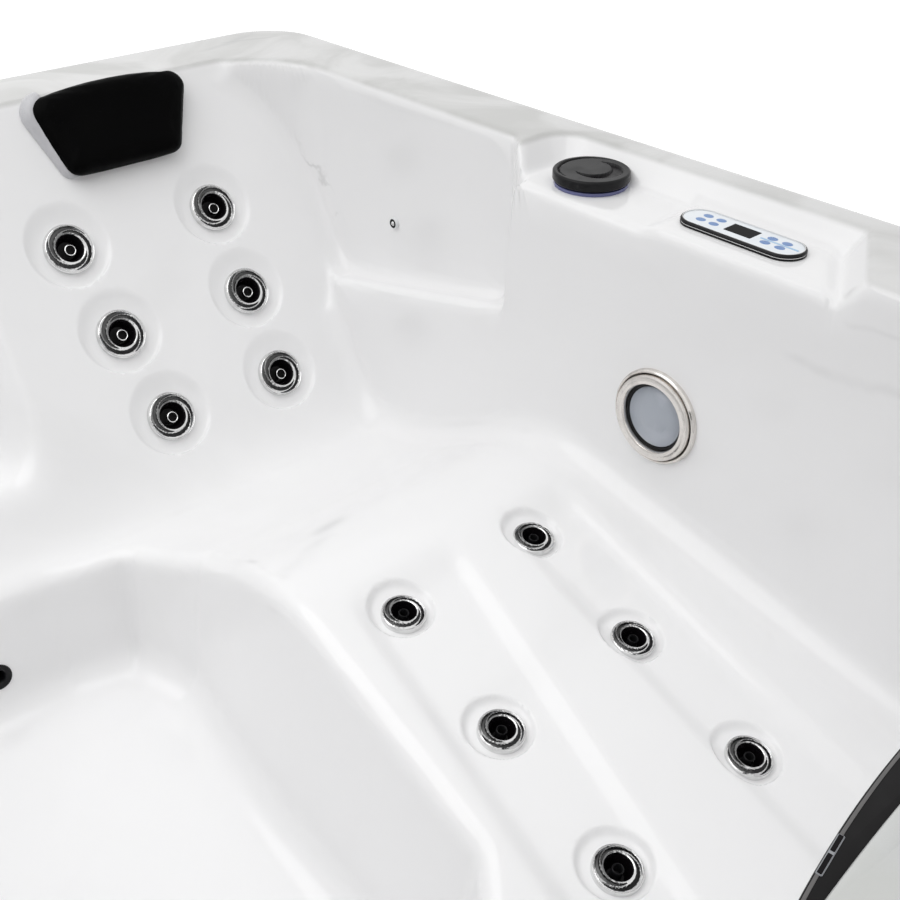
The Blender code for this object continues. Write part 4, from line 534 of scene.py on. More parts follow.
# Painted dark reflection on steel: speckles and their weight, the stored share's weight and ramp,
# and clouded patches
REFLECTION_SPECKLE_CLOUDS = (0.35, 0.65, 480.0, 4.0)
REFLECTION_SPECKLE_WEIGHT = 0.7
REFLECTION_WEIGHT = 1.2
REFLECTION_RAMP = (0.75, 1.35)
REFLECTION_PATCH_CLOUDS = (0.5, 0.8, 64.0, 3.0)
REFLECTION_PATCH_SHARE = 0.25
PLASTIC_SPECULAR = 0.5
GRAIN_NOISE = (900.0, 2.0)
GRAIN_ROUGH = 0.05
GRAIN_RELIEF = (0.00012, 0.35)
WEAR_CLOUDS = (0.45, 0.75, 30.0, 3.0)
WEAR_SHARE = 0.35
WEAR_ROUGH = 0.12
VALVE_ROUGH = 0.45
VALVE_NOISE = (60.0, 3.0)
VALVE_SHARE = 0.4
COLLAR_HEIGHT = 0.002
COLLAR_GLOSS = 0.33
CUSHION_ROUGH = 0.40
CUSHION_SPECULAR = 0.028
CUSHION_CELLS = 620.0
CUSHION_CLOUDS = (0.45, 0.75, 11.0, 3.0)
CUSHION_SHARE = 0.5
CUSHION_LOW_ROUGH = 0.34
CUSHION_WORN_ROUGH = 0.12
CUSHION_CELL_ROUGH = 0.06
CUSHION_RELIEF = (0.00016, 0.4)
# Finishes of one base colour, clouded with a second, over a fine grain
CLOUDED = {
    "lens": ("frosted_lens", LENS_GREY, LENS_PALE, {
        "clouds": (0.42, 0.68, 28.0, 3.0), "share": 0.55, "grain": (420.0, 2.0),
        "relief": (0.0002, 0.5), "roughness": 0.28, "Coat_Weight": 0.5, "Coat_Roughness": 0.10}),
    "paper": ("filter_paper", PAPER_WHITE, PAPER_STAIN, {
        "clouds": (0.45, 0.7, 45.0, 4.0), "share": 0.4, "grain": (500.0, 2.0),
        "relief": (0.0002, 0.5), "roughness": 0.85}),
    "overlay": ("panel_film", FILM_WHITE, FILM_SHADE, {
        "clouds": (0.4, 0.7, 70.0, 2.0), "share": 0.25, "grain": (800.0, 1.0),
        "relief": (0.00005, 0.3), "roughness": 0.22, "Coat_Weight": 0.4, "Coat_Roughness": 0.08}),
}
# Finishes of one base colour with a grain that both tints and roughens, and patches of a third
GRAINED = {
    "cabinet": ("cabinet_board", CABINET_GREY, CABINET_DARK, CABINET_PALE, {
        "grain": (1.0, 6.0, (4.0, 4.0, 240.0), 0.6), "ramp": (0.40, 0.66), "share": 0.65,
        "clouds": (0.45, 0.70, 1.0, 1.0, (0.6, 0.6, 6.0)), "cloud_share": 0.30,
        "plain": 0.55, "low_rough": 0.48, "grain_rough": 0.20, "relief": (0.0006, 0.6)}),
    "timber": ("frame_timber", TIMBER_PALE, TIMBER_DARK, TIMBER_KNOT, {
        "grain": (1.0, 5.0, (26.0, 26.0, 9.0), 1.8), "ramp": (0.42, 0.62), "share": 0.6,
        "clouds": (0.68, 0.76, 7.0, 1.0), "cloud_share": 0.7,
        "plain": 0.70, "low_rough": 0.60, "grain_rough": 0.18, "relief": (0.0005, 0.5)}),
}
# Metals: name, colour, roughness, and how far a stored painted reflection darkens them
METALS = {
    "steel": ("polished_steel", STEEL, 0.07, 0.80),
    "bezel": ("light_bezel_steel", STEEL_WARM, 0.16, 0.35),
    "groove": ("swirl_groove", GROOVE_SHADOW_STEEL, 0.28, 0.8),
}
# Plastics: name, colour, roughness, worn colour and specular level
PLASTICS = {
    "black_plastic": ("black_moulding", BLACK, 0.32, BLACK_WORN, 0.20),
    "bar": ("skimmer_bar", BAR_BLACK, 0.30, BLACK_WORN, 0.16),
    "strip": ("front_strip_grey", HIGHLIGHT_GREY, 0.30, BLACK_WORN, 0.35),
    "cup": ("jet_cup", CUP_AND_SHADOW_BLACK, 0.22, BLACK, 0.12),
    "knob": ("knob_charcoal", KNOB_CHARCOAL, 0.26, BLACK_WORN, 0.15),
    "grey_plastic": ("grey_moulding", GREY_PLASTIC, 0.42, GREY_DARK),
    "backing": ("pillow_backing_grey", BACKING_GREY, 0.25, BACKING_SHADE),
    "white_plastic": ("white_moulding", WHITE_PLASTIC, 0.28, WHITE_WORN),
    "lid": ("lid_white", LID_WHITE, 0.30, WHITE_WORN),
    "key": ("key_blue", KEY_BLUE, 0.25, KEY_PALE),
    "band": ("band_blue", BAND_BLUE, 0.25, FILM_SHADE),
    "display": ("display_window", DISPLAY_BLACK, 0.08, DISPLAY_BLACK, 0.03),
    "motor": ("motor_paint", MOTOR_BLUE, 0.40, MOTOR_WORN),
}


# Places in from the sides

def side_x(distance):
    """X at a distance in from the control side."""
    return HALF_WIDTH - distance


def head_y(distance):
    """Y at a distance in from the head end."""
    return HALF_LENGTH - distance


# Heights of the basin

def smooth_min(a, b, width):
    share = np.clip(0.5 + 0.5 * (b - a) / width, 0.0, 1.0)
    return b + (a - b) * share - width * share * (1.0 - share)


def smooth_max(a, b, width):
    return -smooth_min(-a, -b, width)


def smooth_step(value):
    share = np.clip(value, 0.0, 1.0)
    return share * share * (3.0 - 2.0 * share)


def inside_box(x, y, low, high, radii):
    """Distance in from a rounded rectangle; radii are for -X-Y, +X-Y, +X+Y and -X+Y."""
    dx = x - (low[0] + high[0]) / 2
    dy = y - (low[1] + high[1]) / 2
    foot = np.where(dx > 0, radii[1], radii[0])
    head = np.where(dx > 0, radii[2], radii[3])
    radius = np.where(dy > 0, head, foot)
    qx = np.abs(dx) - (high[0] - low[0]) / 2 + radius
    qy = np.abs(dy) - (high[1] - low[1]) / 2 + radius
    outside = np.hypot(np.maximum(qx, 0), np.maximum(qy, 0))
    return radius - outside - np.minimum(np.maximum(qx, qy), 0)


def inset_corners(corners, distance):
    """Corners of a convex outline, counter-clockwise, moved in by a distance."""
    result = []
    for index, corner in enumerate(corners):
        before = Vector(corners[index - 1])
        here = Vector(corner)
        after = Vector(corners[(index + 1) % len(corners)])
        first = (here - before).normalized()
        second = (after - here).normalized()
        bisector = (Vector((-first.y, first.x)) + Vector((-second.y, second.x))).normalized()
        result.append(here + bisector * (distance / bisector.dot(Vector((-first.y, first.x)))))
    return result


def inside_outline(x, y, corners, radius):
    """Distance in from a convex outline, counter-clockwise, with rounded corners."""
    inner = inset_corners(corners, radius)
    nearest = np.full(np.shape(x), np.inf)
    least = np.full(np.shape(x), np.inf)
    for index, start in enumerate(inner):
        edge = inner[(index + 1) % len(inner)] - start
        px, py = x - start.x, y - start.y
        share = np.clip((px * edge.x + py * edge.y) / edge.length_squared, 0.0, 1.0)
        nearest = np.minimum(nearest, np.hypot(px - share * edge.x, py - share * edge.y))
        least = np.minimum(least, (py * edge.x - px * edge.y) / edge.length)
    return radius + np.where(least > 0, nearest, -nearest)


def wall_drop(inside, depth, draft, edge_radius, fillet_radius):
    """Drop below a pocket's edge: a rounded edge, a drafted wall and a fillet to the floor."""
    steep = math.pi / 2 - draft
    reach = math.sin(steep)
    drop = 1.0 - math.cos(steep)
    share = np.clip(depth / ((edge_radius + fillet_radius) * drop), 0.0, 1.0)
    edge = edge_radius * share
    fillet = fillet_radius * share
    straight = np.maximum(depth - (edge + fillet) * drop, 0.0)
    wall_start = edge * reach
    wall_end = wall_start + straight / math.tan(steep)
    floor_start = wall_end + fillet * reach
    d = np.maximum(inside, 0.0)
    rounding = edge - np.sqrt(np.maximum(edge**2 - d**2, 0.0))
    wall = edge * drop + (d - wall_start) * math.tan(steep)
    toe = np.clip(floor_start - d, 0.0, fillet)
    hollow = depth - fillet + np.sqrt(np.maximum(fillet**2 - toe**2, 0.0))
    result = np.where(d < wall_start, rounding, np.where(d < wall_end, wall, hollow))
    return np.where(d >= floor_start, depth, result)


def sink(z, inside, floor, draft, edge_radius, fillet_radius):
    depth = np.maximum(z - floor, 0.0)
    return z - wall_drop(inside, depth, draft, edge_radius, fillet_radius)


def backrest_height(x, y):
    """Reclined backs: the lounger's, and the steeper one of the seat on its left."""
    top = head_y(HEAD_DECK)
    lounger = RIM_HEIGHT - (top - y) / math.tan(BACKREST_RECLINE)
    left_seat = RIM_HEIGHT - (top - y) / math.tan(LEFT_SEAT_RECLINE)
    arm = ARM_LEVEL * smooth_step((x - ARM_START) / ARM_LEAD)
    left_seat = smooth_min(smooth_max(left_seat, arm, ARM_BLEND), lounger, ARM_BLEND)
    share = smooth_step((x - side_x(LOUNGER_LEFT)) / BACKREST_STEP + BACKREST_STEP_START)
    return left_seat + (lounger - left_seat) * share


def channel_drop(x, y):
    """Shallow channels along the rows of leg jets, closed at the knee."""
    run = head_y(LEG_JET_FIRST) - y
    lead = smooth_step((run + CHANNEL_LEAD) / CHANNEL_LEAD)
    along = run / (LEG_JET_STEP * (JETS_IN_ROW - 1))
    total = 0.0
    for start, lean, half, taper in CHANNELS:
        across = np.abs(x - side_x(start) + along * lean)
        bank = (half - along * taper - across) / CHANNEL_BANK
        total = total + smooth_step(bank + 0.5)
    return CHANNEL_DEPTH * lead * np.minimum(total, 1.0)


def leg_height(x, y):
    knee_y = head_y(KNEE_DISTANCE)
    knee = RIM_HEIGHT - KNEE_DEPTH
    leg = knee - (knee_y - y) * LEG_SLOPE
    flank = knee - (y - knee_y) * KNEE_FLANK
    return smooth_min(leg, flank, KNEE_BLEND) - channel_drop(x, y)


def seat_floor(x, y):
    seat = RIM_HEIGHT - SEAT_DEPTH
    lower = smooth_max(leg_height(x, y), seat, SEAT_BLEND)
    return smooth_max(lower, backrest_height(x, y), SEAT_BLEND)


def basin_outline():
    """Plan corners of the basin, and its corner radii."""
    low = (-HALF_WIDTH + LEFT_DECK, -HALF_LENGTH + FOOT_DECK)
    high = (side_x(CONTROL_DECK), head_y(HEAD_DECK))
    return low, high, (BASIN_CORNER_RADIUS,) * 4


def recess_outline():
    low = (side_x(LOUNGER_LEFT), head_y(RECESS_START))
    high = (side_x(RECESS_DECK), head_y(HEAD_DECK))
    foot = RECESS_FOOT_RADIUS
    return low, high, (foot, foot, BASIN_CORNER_RADIUS, BASIN_CORNER_RADIUS)


def plateau_outline():
    low = (side_x(CONTROL_DECK) - BASIN_FILLET_RADIUS, head_y(PLATEAU_END))
    high = (side_x(PLATEAU_DECK), head_y(PLATEAU_START))
    edge = PLATEAU_EDGE_RADIUS
    return low, high, (edge, edge, PLATEAU_HEAD_RADIUS, edge)


def pad_outline():
    low = (side_x(CONTROL_DECK) - BASIN_FILLET_RADIUS, head_y(PAD_END))
    high = (side_x(PAD_DECK), head_y(PAD_START))
    return low, high, (PLATEAU_EDGE_RADIUS,) * 4


def well_outline():
    """The footwell's corners, counter-clockwise from the knee."""
    corners = []
    for places, right, head in (((WELL_KNEE, WELL_SEAT_CORNER, WELL_SEAT_MIDDLE), 1, 1),
                                ((WELL_SEAT_LEFT, WELL_LEFT), -1, 1),
                                ((WELL_LEFT_FOOT, WELL_FOOT_LEFT), -1, -1),
                                ((WELL_FOOT_RIGHT, WELL_LOUNGER), 1, -1)):
        corners += [(right * side_x(across), head * head_y(along)) for across, along in places]
    return corners


def tub_inside(x, y):
    low = (-HALF_WIDTH, -HALF_LENGTH)
    high = (HALF_WIDTH, HALF_LENGTH)
    return inside_box(x, y, low, high, (RIM_CORNER_RADIUS,) * 4)


def basin_height(x, y):
    """Height of the tub's wet surface and its rim over a point of the plan."""
    near = np.clip(RIM_EDGE_RADIUS - tub_inside(x, y), 0.0, RIM_EDGE_RADIUS)
    z = RIM_HEIGHT - RIM_EDGE_RADIUS + np.sqrt(RIM_EDGE_RADIUS**2 - near**2)
    slant = PAD_SLANT * smooth_step((head_y(SLANT_START) - y) / SLANT_LEAD)
    end_y = y - slant * (x - side_x(PANEL_DECK))
    z = sink(z, inside_box(x, end_y, *plateau_outline()), PLATEAU_LEVEL, PLATEAU_DRAFT,
             PLATEAU_EDGE_RADIUS, PLATEAU_EDGE_RADIUS)
    pad = smooth_step(inside_box(x, end_y, *pad_outline()) / PAD_EDGE)
    z = z + PAD_HEIGHT * pad
    ledge = RIM_HEIGHT - LEDGE_DEPTH - (y - head_y(RECESS_START)) * LEDGE_SLOPE
    recess = smooth_max(ledge, backrest_height(x, y), BASIN_FILLET_RADIUS)
    lean = np.clip(x - side_x(CONTROL_DECK), 0.0, RECESS_LEAN_REACH)
    lean = lean * (1.0 - smooth_step((y - RECESS_LEAN_END) / RECESS_LEAN_FADE))
    aside = inside_box(x, y - lean, *recess_outline())
    within = inside_box(x, y, *basin_outline())
    aside = aside + smooth_max(aside, within, RECESS_BLEND) - np.maximum(aside, within)
    z = sink(z, aside, recess, WALL_DRAFT, BASIN_EDGE_RADIUS, LEDGE_FILLET_RADIUS)
    below = np.clip(PLATEAU_LEVEL - z, -PLATEAU_DEPTH, LEDGE_DEPTH - PLATEAU_DEPTH)
    inward = np.where(x > 0, below, 0.0) * math.tan(WALL_DRAFT)
    soft = smooth_step((SEAT_SOFT_X - x) / SEAT_SOFT_LEAD)
    soft = soft * smooth_step((y - SEAT_SOFT_Y) / SEAT_SOFT_LEAD)
    z = sink(z, inside_box(x + inward, y, *basin_outline()), seat_floor(x, y), WALL_DRAFT,
             BASIN_EDGE_RADIUS, BASIN_FILLET_RADIUS + SEAT_SOFT_FILLET * soft)
    return sink(z, inside_outline(x, y, well_outline(), WELL_CORNER_RADIUS),
                WELL_LEVEL, WELL_DRAFT, WELL_EDGE_RADIUS, WELL_FILLET_RADIUS)


def round_corner(across, along):
    """Plan position for a place on the square grid: each corner becomes a quarter disc."""
    x, y = across * HALF_WIDTH, along * HALF_LENGTH
    a = (np.abs(x) - HALF_WIDTH) / RIM_CORNER_RADIUS + 1.0
    b = (np.abs(y) - HALF_LENGTH) / RIM_CORNER_RADIUS + 1.0
    corner = (a > 0) & (b > 0)
    squeezed_a = a * np.sqrt(np.maximum(1.0 - b**2 / 2, 0.0))
    squeezed_b = b * np.sqrt(np.maximum(1.0 - a**2 / 2, 0.0))
    round_x = np.sign(x) * (HALF_WIDTH + RIM_CORNER_RADIUS * (squeezed_a - 1.0))
    round_y = np.sign(y) * (HALF_LENGTH + RIM_CORNER_RADIUS * (squeezed_b - 1.0))
    return np.where(corner, round_x, x), np.where(corner, round_y, y)


def spread_plan(x, y, rounds):
    """Slide grid points in plan towards steep walls, so that the walls get their share."""
    for _ in range(rounds):
        z = basin_height(x, y)
        sums = np.zeros((2,) + x[1:-1, 1:-1].shape)
        weights = np.zeros(x[1:-1, 1:-1].shape)
        for rows, columns in NEIGHBOURS:
            near_x, near_y, near_z = x[rows, columns], y[rows, columns], z[rows, columns]
            flat = np.hypot(near_x - x[1:-1, 1:-1], near_y - y[1:-1, 1:-1])
            rise = (near_z - z[1:-1, 1:-1]) / flat
            weight = np.minimum(np.sqrt(1.0 + rise**2), STEEPEST_WEIGHT)
            sums += weight * np.array((near_x, near_y))
            weights += weight
        x[1:-1, 1:-1] += SPREAD_SHARE * (sums[0] / weights - x[1:-1, 1:-1])
        y[1:-1, 1:-1] += SPREAD_SHARE * (sums[1] / weights - y[1:-1, 1:-1])
    return x, y


# Jets

def back_jet_places():
    """Places of the back jets, left row then right row, from the top down."""
    top = head_y(HEAD_DECK)
    for start, taper in ((BACK_JET_LEFT, BACK_JET_TAPER), (BACK_JET_RIGHT, 0.0)):
        for index in range(JETS_IN_ROW):
            depth = BACK_JET_TOP_DEPTH + index * BACK_JET_STEP_DOWN
            y = top - depth * math.tan(BACKREST_RECLINE)
            yield Vector((side_x(start - index * taper), y, RIM_HEIGHT - depth))


def leg_level(along):
    """Depth of the leg rest's plane, under its channels, at a distance from the head end."""
    fall = (along - KNEE_DISTANCE) * LEG_SLOPE
    return RIM_HEIGHT - KNEE_DEPTH - CHANNEL_DEPTH - fall


def leg_jet_places():
    for start in (LEG_JET_LEFT, LEG_JET_RIGHT):
        for index in range(JETS_IN_ROW):
            along = LEG_JET_FIRST + index * LEG_JET_STEP
            x = side_x(start + index * LEG_JET_TAPER)
            yield Vector((x, head_y(along), leg_level(along)))


BACK_AXIS = Vector((0, -math.cos(BACKREST_RECLINE), math.sin(BACKREST_RECLINE)))
LEG_AXIS = Vector((0, -LEG_SLOPE, 1)).normalized()


# Places on the walls

def wall_x(depth):
    """X of the control-side wall at a depth."""
    start = BASIN_EDGE_RADIUS * math.cos(WALL_DRAFT)
    return side_x(CONTROL_DECK) - start - (depth - PLATEAU_DEPTH) * math.tan(WALL_DRAFT)


WALL_AXIS = Vector((-math.cos(WALL_DRAFT), 0, math.sin(WALL_DRAFT)))


# Panel outline

def stadium(length, width, steps):
    """Outline of a slot shape along Y, counter-clockwise."""
    radius = width / 2
    points = []
    for centre, start in ((length / 2 - radius, 0.0), (radius - length / 2, math.pi)):
        for index in range(steps + 1):
            angle = start + math.pi * index / steps
            points.append((radius * math.cos(angle), centre + radius * math.sin(angle)))
    return points


# Pillow outline

def rounded_polygon(corners, radius, margin):
    """Outline round convex corners, counter-clockwise, with points along its sides too."""
    points = []
    reach = radius + margin
    for index, centre in enumerate(inset_corners(corners, radius)):
        here = Vector(corners[index])
        before = (here - Vector(corners[index - 1])).normalized()
        after = (Vector(corners[(index + 1) % len(corners)]) - here).normalized()
        first = math.atan2(-before.x, before.y)
        turn = before.angle_signed(after)
        for step in range(PILLOW_CORNER_STEPS + 1):
            angle = first - turn * step / PILLOW_CORNER_STEPS
            points.append(centre + Vector((math.cos(angle), math.sin(angle))) * reach)
        length = (Vector(corners[(index + 1) % len(corners)]) - here).length - radius * 2
        for step in range(1, PILLOW_SPANS):
            points.append(points[-step] + after * (length * step / PILLOW_SPANS))
    return points


def pillow_matrix():
    place = Vector((side_x(PILLOW_DECK), head_y(HEAD_DECK) - PILLOW_TOP_DEPTH *
                    math.tan(BACKREST_RECLINE), RIM_HEIGHT - PILLOW_TOP_DEPTH))
    side = Vector((1, 0, 0))
    slope = BACK_AXIS.cross(side)
    turn = Matrix((side, slope, BACK_AXIS)).transposed().to_4x4()
    return Matrix.Translation(place) @ turn


def pillow_outline(margin=0.0):
    """Plan of the pillow, whose top edge is bowed."""
    points = []
    for point in rounded_polygon(PILLOW_CORNERS, PILLOW_CORNER, margin):
        across = min(abs(point.x) / PILLOW_BOW_HALF, 1.0)
        rise = max(0.0, 1.0 - point.y / PILLOW_BOW_FOOT)
        points.append(point + Vector((0.0, PILLOW_BOW * (1.0 - across**2) * rise)))
    return points


def backing_ring(level):
    """One ring of the backing, whose -X flank stands tall and slopes out."""
    ring = []
    for point, out in zip(pillow_outline(), pillow_outline(1.0)):
        share = smooth_step((FLANK_START - point.x) / FLANK_BLEND + 0.5)
        share *= 1.0 - FLANK_TAPER * max(0.0, -point.y / PILLOW_LENGTH)
        edge, flank = Vector(BACKING_EDGE[level]), Vector(BACKING_FLANK[level])
        margin, height = edge.lerp(flank, share)
        place = point + (out - point) * margin
        ring.append((place.x, place.y, GAP + height))
    return ring


# Places on the basin's surface

def surface_point(x, y):
    return Vector((x, y, float(basin_height(np.array([x]), np.array([y]))[0])))


def wall_place(x, level, inner, outer):
    """Place on a wall that rises from inner to outer along Y, at a level, and its normal."""
    for _ in range(SEARCH_ROUNDS):
        middle = (inner + outer) / 2
        if surface_point(x, middle).z < level:
            inner = middle
        else:
            outer = middle
    place = Vector((x, inner, level))
    rise_x = surface_point(x + OVERRUN, inner).z - surface_point(x - OVERRUN, inner).z
    rise_y = surface_point(x, inner + GAP).z - surface_point(x, inner - GAP).z
    normal = Vector((-rise_x / (2 * OVERRUN), -rise_y / (2 * GAP), 1.0)).normalized()
    return place, normal


# Places of the fittings, worked out from the sizes

CABINET_X = HALF_WIDTH - CABINET_INSET
CABINET_Y = HALF_LENGTH - CABINET_INSET
CORNER_RADIUS = RIM_CORNER_RADIUS - CABINET_INSET
PANEL_JOINT = HALF_WIDTH - POST_REACH
UP = Vector((0, 0, 1))
SKIMMER_X = side_x(SKIMMER_DECK)
SKIMMER_FRONT_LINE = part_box("skimmer_face")[1].y - SKIMMER_BOW
WEIR_PIVOT_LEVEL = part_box("skimmer_weir")[1].z - WEIR_THICKNESS / 2
KNOB_PLACE = Vector((side_x(DIVERTER_DECK), head_y(DIVERTER_DISTANCE), PLATEAU_LEVEL))
LIGHT_PLACE = Vector((wall_x(LIGHT_DEPTH), head_y(LIGHT_DISTANCE), RIM_HEIGHT - LIGHT_DEPTH))
WELL_HEAD = head_y(WELL_SEAT_MIDDLE[1])
WELL_FOOT = -head_y(WELL_FOOT_LEFT[1])
SUCTION_X = (side_x(WELL_FOOT_RIGHT[0]) - side_x(WELL_FOOT_LEFT[0])) / 2
RETURN_SPOT = (*wall_place(side_x(RETURN_DECK), WELL_LEVEL + RETURN_RISE,
                           WELL_HEAD - WELL_DEPTH / 2, WELL_HEAD), RETURN_RADIUS)
SUCTION_SPOT = (*wall_place(SUCTION_X, WELL_LEVEL + SUCTION_RISE, WELL_FOOT + WELL_DEPTH / 3,
                            WELL_FOOT), SUCTION_RADIUS)


# Finishes

class Tone:
    """A number that changes over a surface; arithmetic on it adds Math nodes."""

    def __init__(self, nodes, socket):
        self.nodes = nodes
        self.socket = socket

    def __add__(self, other):
        return self.nodes.math("ADD", self, other)

    def __radd__(self, other):
        return self.nodes.math("ADD", other, self)

    def __sub__(self, other):
        return self.nodes.math("SUBTRACT", self, other)

    def __rsub__(self, other):
        return self.nodes.math("SUBTRACT", other, self)

    def __mul__(self, other):
        return self.nodes.math("MULTIPLY", self, other)

    def __rmul__(self, other):
        return self.nodes.math("MULTIPLY", other, self)


class Nodes:
    """A tree of shader nodes under way."""

    def __init__(self, owner):
        owner.use_nodes = True
        self.tree = owner.node_tree

    def feed(self, socket, value):
        if isinstance(value, Tone):
            self.tree.links.new(value.socket, socket)
        else:
            socket.default_value = value

    def node(self, kind, inputs=None, output=0, **settings):
        """Add a node: its settings come first, then its inputs by name or number."""
        node = self.tree.nodes.new("ShaderNode" + kind)
        for name, value in settings.items():
            setattr(node, name, value)
        for key, value in (inputs or {}).items():
            self.feed(node.inputs[key], value)
        return Tone(self, node.outputs[output])

    def math(self, operation, *values):
        return self.node("Math", dict(enumerate(values)), operation=operation)

    def mix(self, share, first, second):
        """Colour between a first and a second colour."""
        return self.node("Mix", {0: share, MIX_FIRST: first, MIX_SECOND: second}, output=2,
                         data_type="RGBA")

    def ramp(self, value, low, high, start=0.0, end=1.0):
        """Smooth step of a value from one number to another."""
        return self.node("MapRange", {0: value, 1: low, 2: high, 3: start, 4: end},
                         interpolation_type="SMOOTHSTEP")

    def place(self, stretch=EVEN):
        """Place on the piece in metres, stretched along each axis."""
        spot = self.node("TexCoord", output="Object")
        return self.node("VectorMath", {0: spot, 1: stretch}, operation="MULTIPLY")

    def axis(self, name):
        """One coordinate of the place on the piece, in metres."""
        return self.node("SeparateXYZ", {0: self.place()}, output=name)

    def dot(self, direction):
        """Distance of the place on the piece along a direction."""
        return self.node("VectorMath", {0: self.place(), 1: direction}, output=1,
                         operation="DOT_PRODUCT")

    def noise(self, scale, detail, stretch=EVEN, bend=0.0):
        return self.node("TexNoise", {"Vector": self.place(stretch), "Scale": scale,
                                      "Detail": detail, "Distortion": bend})

    def clouds(self, low, high, *noise):
        """Patches: a noise between the two ends of a ramp."""
        return self.ramp(self.noise(*noise), low, high)


class Finish(Nodes):
    """A material: its own nodes round one Principled shader."""

    def __init__(self, name, colour, roughness, **fixed):
        self.material = bpy.data.materials.new(name)
        super().__init__(self.material)
        self.shader = self.tree.nodes["Principled BSDF"]
        self.colour = (*colour, 1.0)
        self.set(**{"Base Color": self.colour, "Roughness": roughness})
        self.set(**{key.replace("_", " "): value for key, value in fixed.items()})

    def set(self, **values):
        for name, value in values.items():
            self.feed(self.shader.inputs[name], value)

    def tint(self, share, colour):
        """Blend the colour so far towards another by a share."""
        self.colour = self.mix(share, self.colour, (*colour, 1.0))
        self.set(**{"Base Color": self.colour})

    def rough(self, value):
        self.set(Roughness=value)

    def bump(self, height, distance, strength):
        relief = self.node("Bump", {"Height": height, "Distance": distance, "Strength": strength})
        self.set(Normal=relief)


def acrylic_finish():
    """White gloss acrylic, greyer and cloudy on the deck, with a few faint veins; the deck's grey
    is painted shade, mottled by clouds.
    """
    finish = Finish("veined_acrylic", ACRYLIC_WHITE, ACRYLIC_PLAIN)
    # Painted shade: the deck darkened above the basin, mottled by clouds
    deck_shade = finish.ramp(finish.axis("Z"), DECK_LOW, DECK_HIGH)
    cloudy = 1.0 - DECK_CLOUD_SHARE + DECK_CLOUD_SHARE * finish.clouds(*DECK_CLOUDS)
    finish.tint(deck_shade * cloudy, DECK_SHADE_AND_MOTTLE_GREY)
    finish.tint(finish.clouds(*HAZE_CLOUDS) * HAZE_SHARE, DECK_SHADE_AND_MOTTLE_GREY)
    for start, end, facing, width, depth in VEINS:
        share = vein(finish, Vector(start), Vector(end), Vector(facing), width)
        finish.tint(share * depth, VEIN_GREY)
    finish.rough(ACRYLIC_ROUGH + SMEAR_ROUGH * finish.noise(*SMEAR_NOISE))
    finish.bump(finish.noise(*WAVE_NOISE), *WAVE_RELIEF)
    return finish.material


def vein(finish, start, end, facing, width):
    """Share of a wandering vein between two places on a surface that faces a direction."""
    run = end - start
    along = finish.dot(run / run.length_squared) - run.dot(start) / run.length_squared
    aside = run.cross(facing).normalized()
    drift = finish.noise(VEIN_SCALE, VEIN_DETAIL) * VEIN_DRIFT - VEIN_DRIFT / 2
    offset = finish.math("ABSOLUTE", finish.dot(aside) - aside.dot(start) + drift)
    lift = facing.normalized()
    near = finish.math("ABSOLUTE", finish.dot(lift) - lift.dot(start))
    share = finish.ramp(offset, width, 0.0) * finish.ramp(near, VEIN_REACH, VEIN_REACH / 2)
    for low, high in VEIN_ENDS:
        share = share * finish.ramp(along, low, high)
    return share * finish.clouds(*VEIN_BREAKS)


def metal_finish(name, colour, roughness, painted_reflection):
    """Polished metal with water spots; its colour holds a painted dark reflection, where a piece
    has stored one and in clouded patches.
    """
    finish = Finish(name, colour, roughness, Metallic=1.0)
    spots = finish.noise(*SPOT_NOISE)
    finish.rough(roughness + SPOT_ROUGH * finish.ramp(spots, *SPOT_RAMP))
    stored = finish.node("Attribute", attribute_name="painted_reflection", output="Fac")
    # Painted dark reflection: the stored share, broken up by speckles
    dark = stored * REFLECTION_WEIGHT + REFLECTION_SPECKLE_WEIGHT * finish.clouds(*REFLECTION_SPECKLE_CLOUDS)
    finish.tint(finish.ramp(dark, *REFLECTION_RAMP) * painted_reflection, METAL_PAINTED_REFLECTION)
    # Painted dark reflection in clouded patches, on every steel piece
    finish.tint(finish.clouds(*REFLECTION_PATCH_CLOUDS) * REFLECTION_PATCH_SHARE, METAL_PAINTED_REFLECTION)
    finish.bump(spots, *SPOT_RELIEF)
    return finish.material


def plastic_finish(name, colour, roughness, worn, gloss=PLASTIC_SPECULAR):
    """Moulded plastic: fine grain, and a little wear in patches."""
    finish = Finish(name, colour, roughness, Specular_IOR_Level=gloss)
    grain = finish.noise(*GRAIN_NOISE)
    wear = finish.clouds(*WEAR_CLOUDS)
    finish.tint(wear * WEAR_SHARE, worn)
    finish.rough(roughness + WEAR_ROUGH * wear + GRAIN_ROUGH * grain)
    finish.bump(grain, *GRAIN_RELIEF)
    return finish.material


def valve_finish():
    """Grey valve body; the collar under the knob is a bluish gloss ring."""
    finish = Finish("valve_grey", GREY_PLASTIC, VALVE_ROUGH)
    finish.tint(finish.noise(*VALVE_NOISE) * VALVE_SHARE, GREY_DARK)
    collar = finish.ramp(finish.axis("Z"), PLATEAU_LEVEL - COLLAR_HEIGHT, PLATEAU_LEVEL)
    finish.tint(collar, COLLAR_BLUE)
    finish.rough(VALVE_ROUGH - COLLAR_GLOSS * collar)
    return finish.material


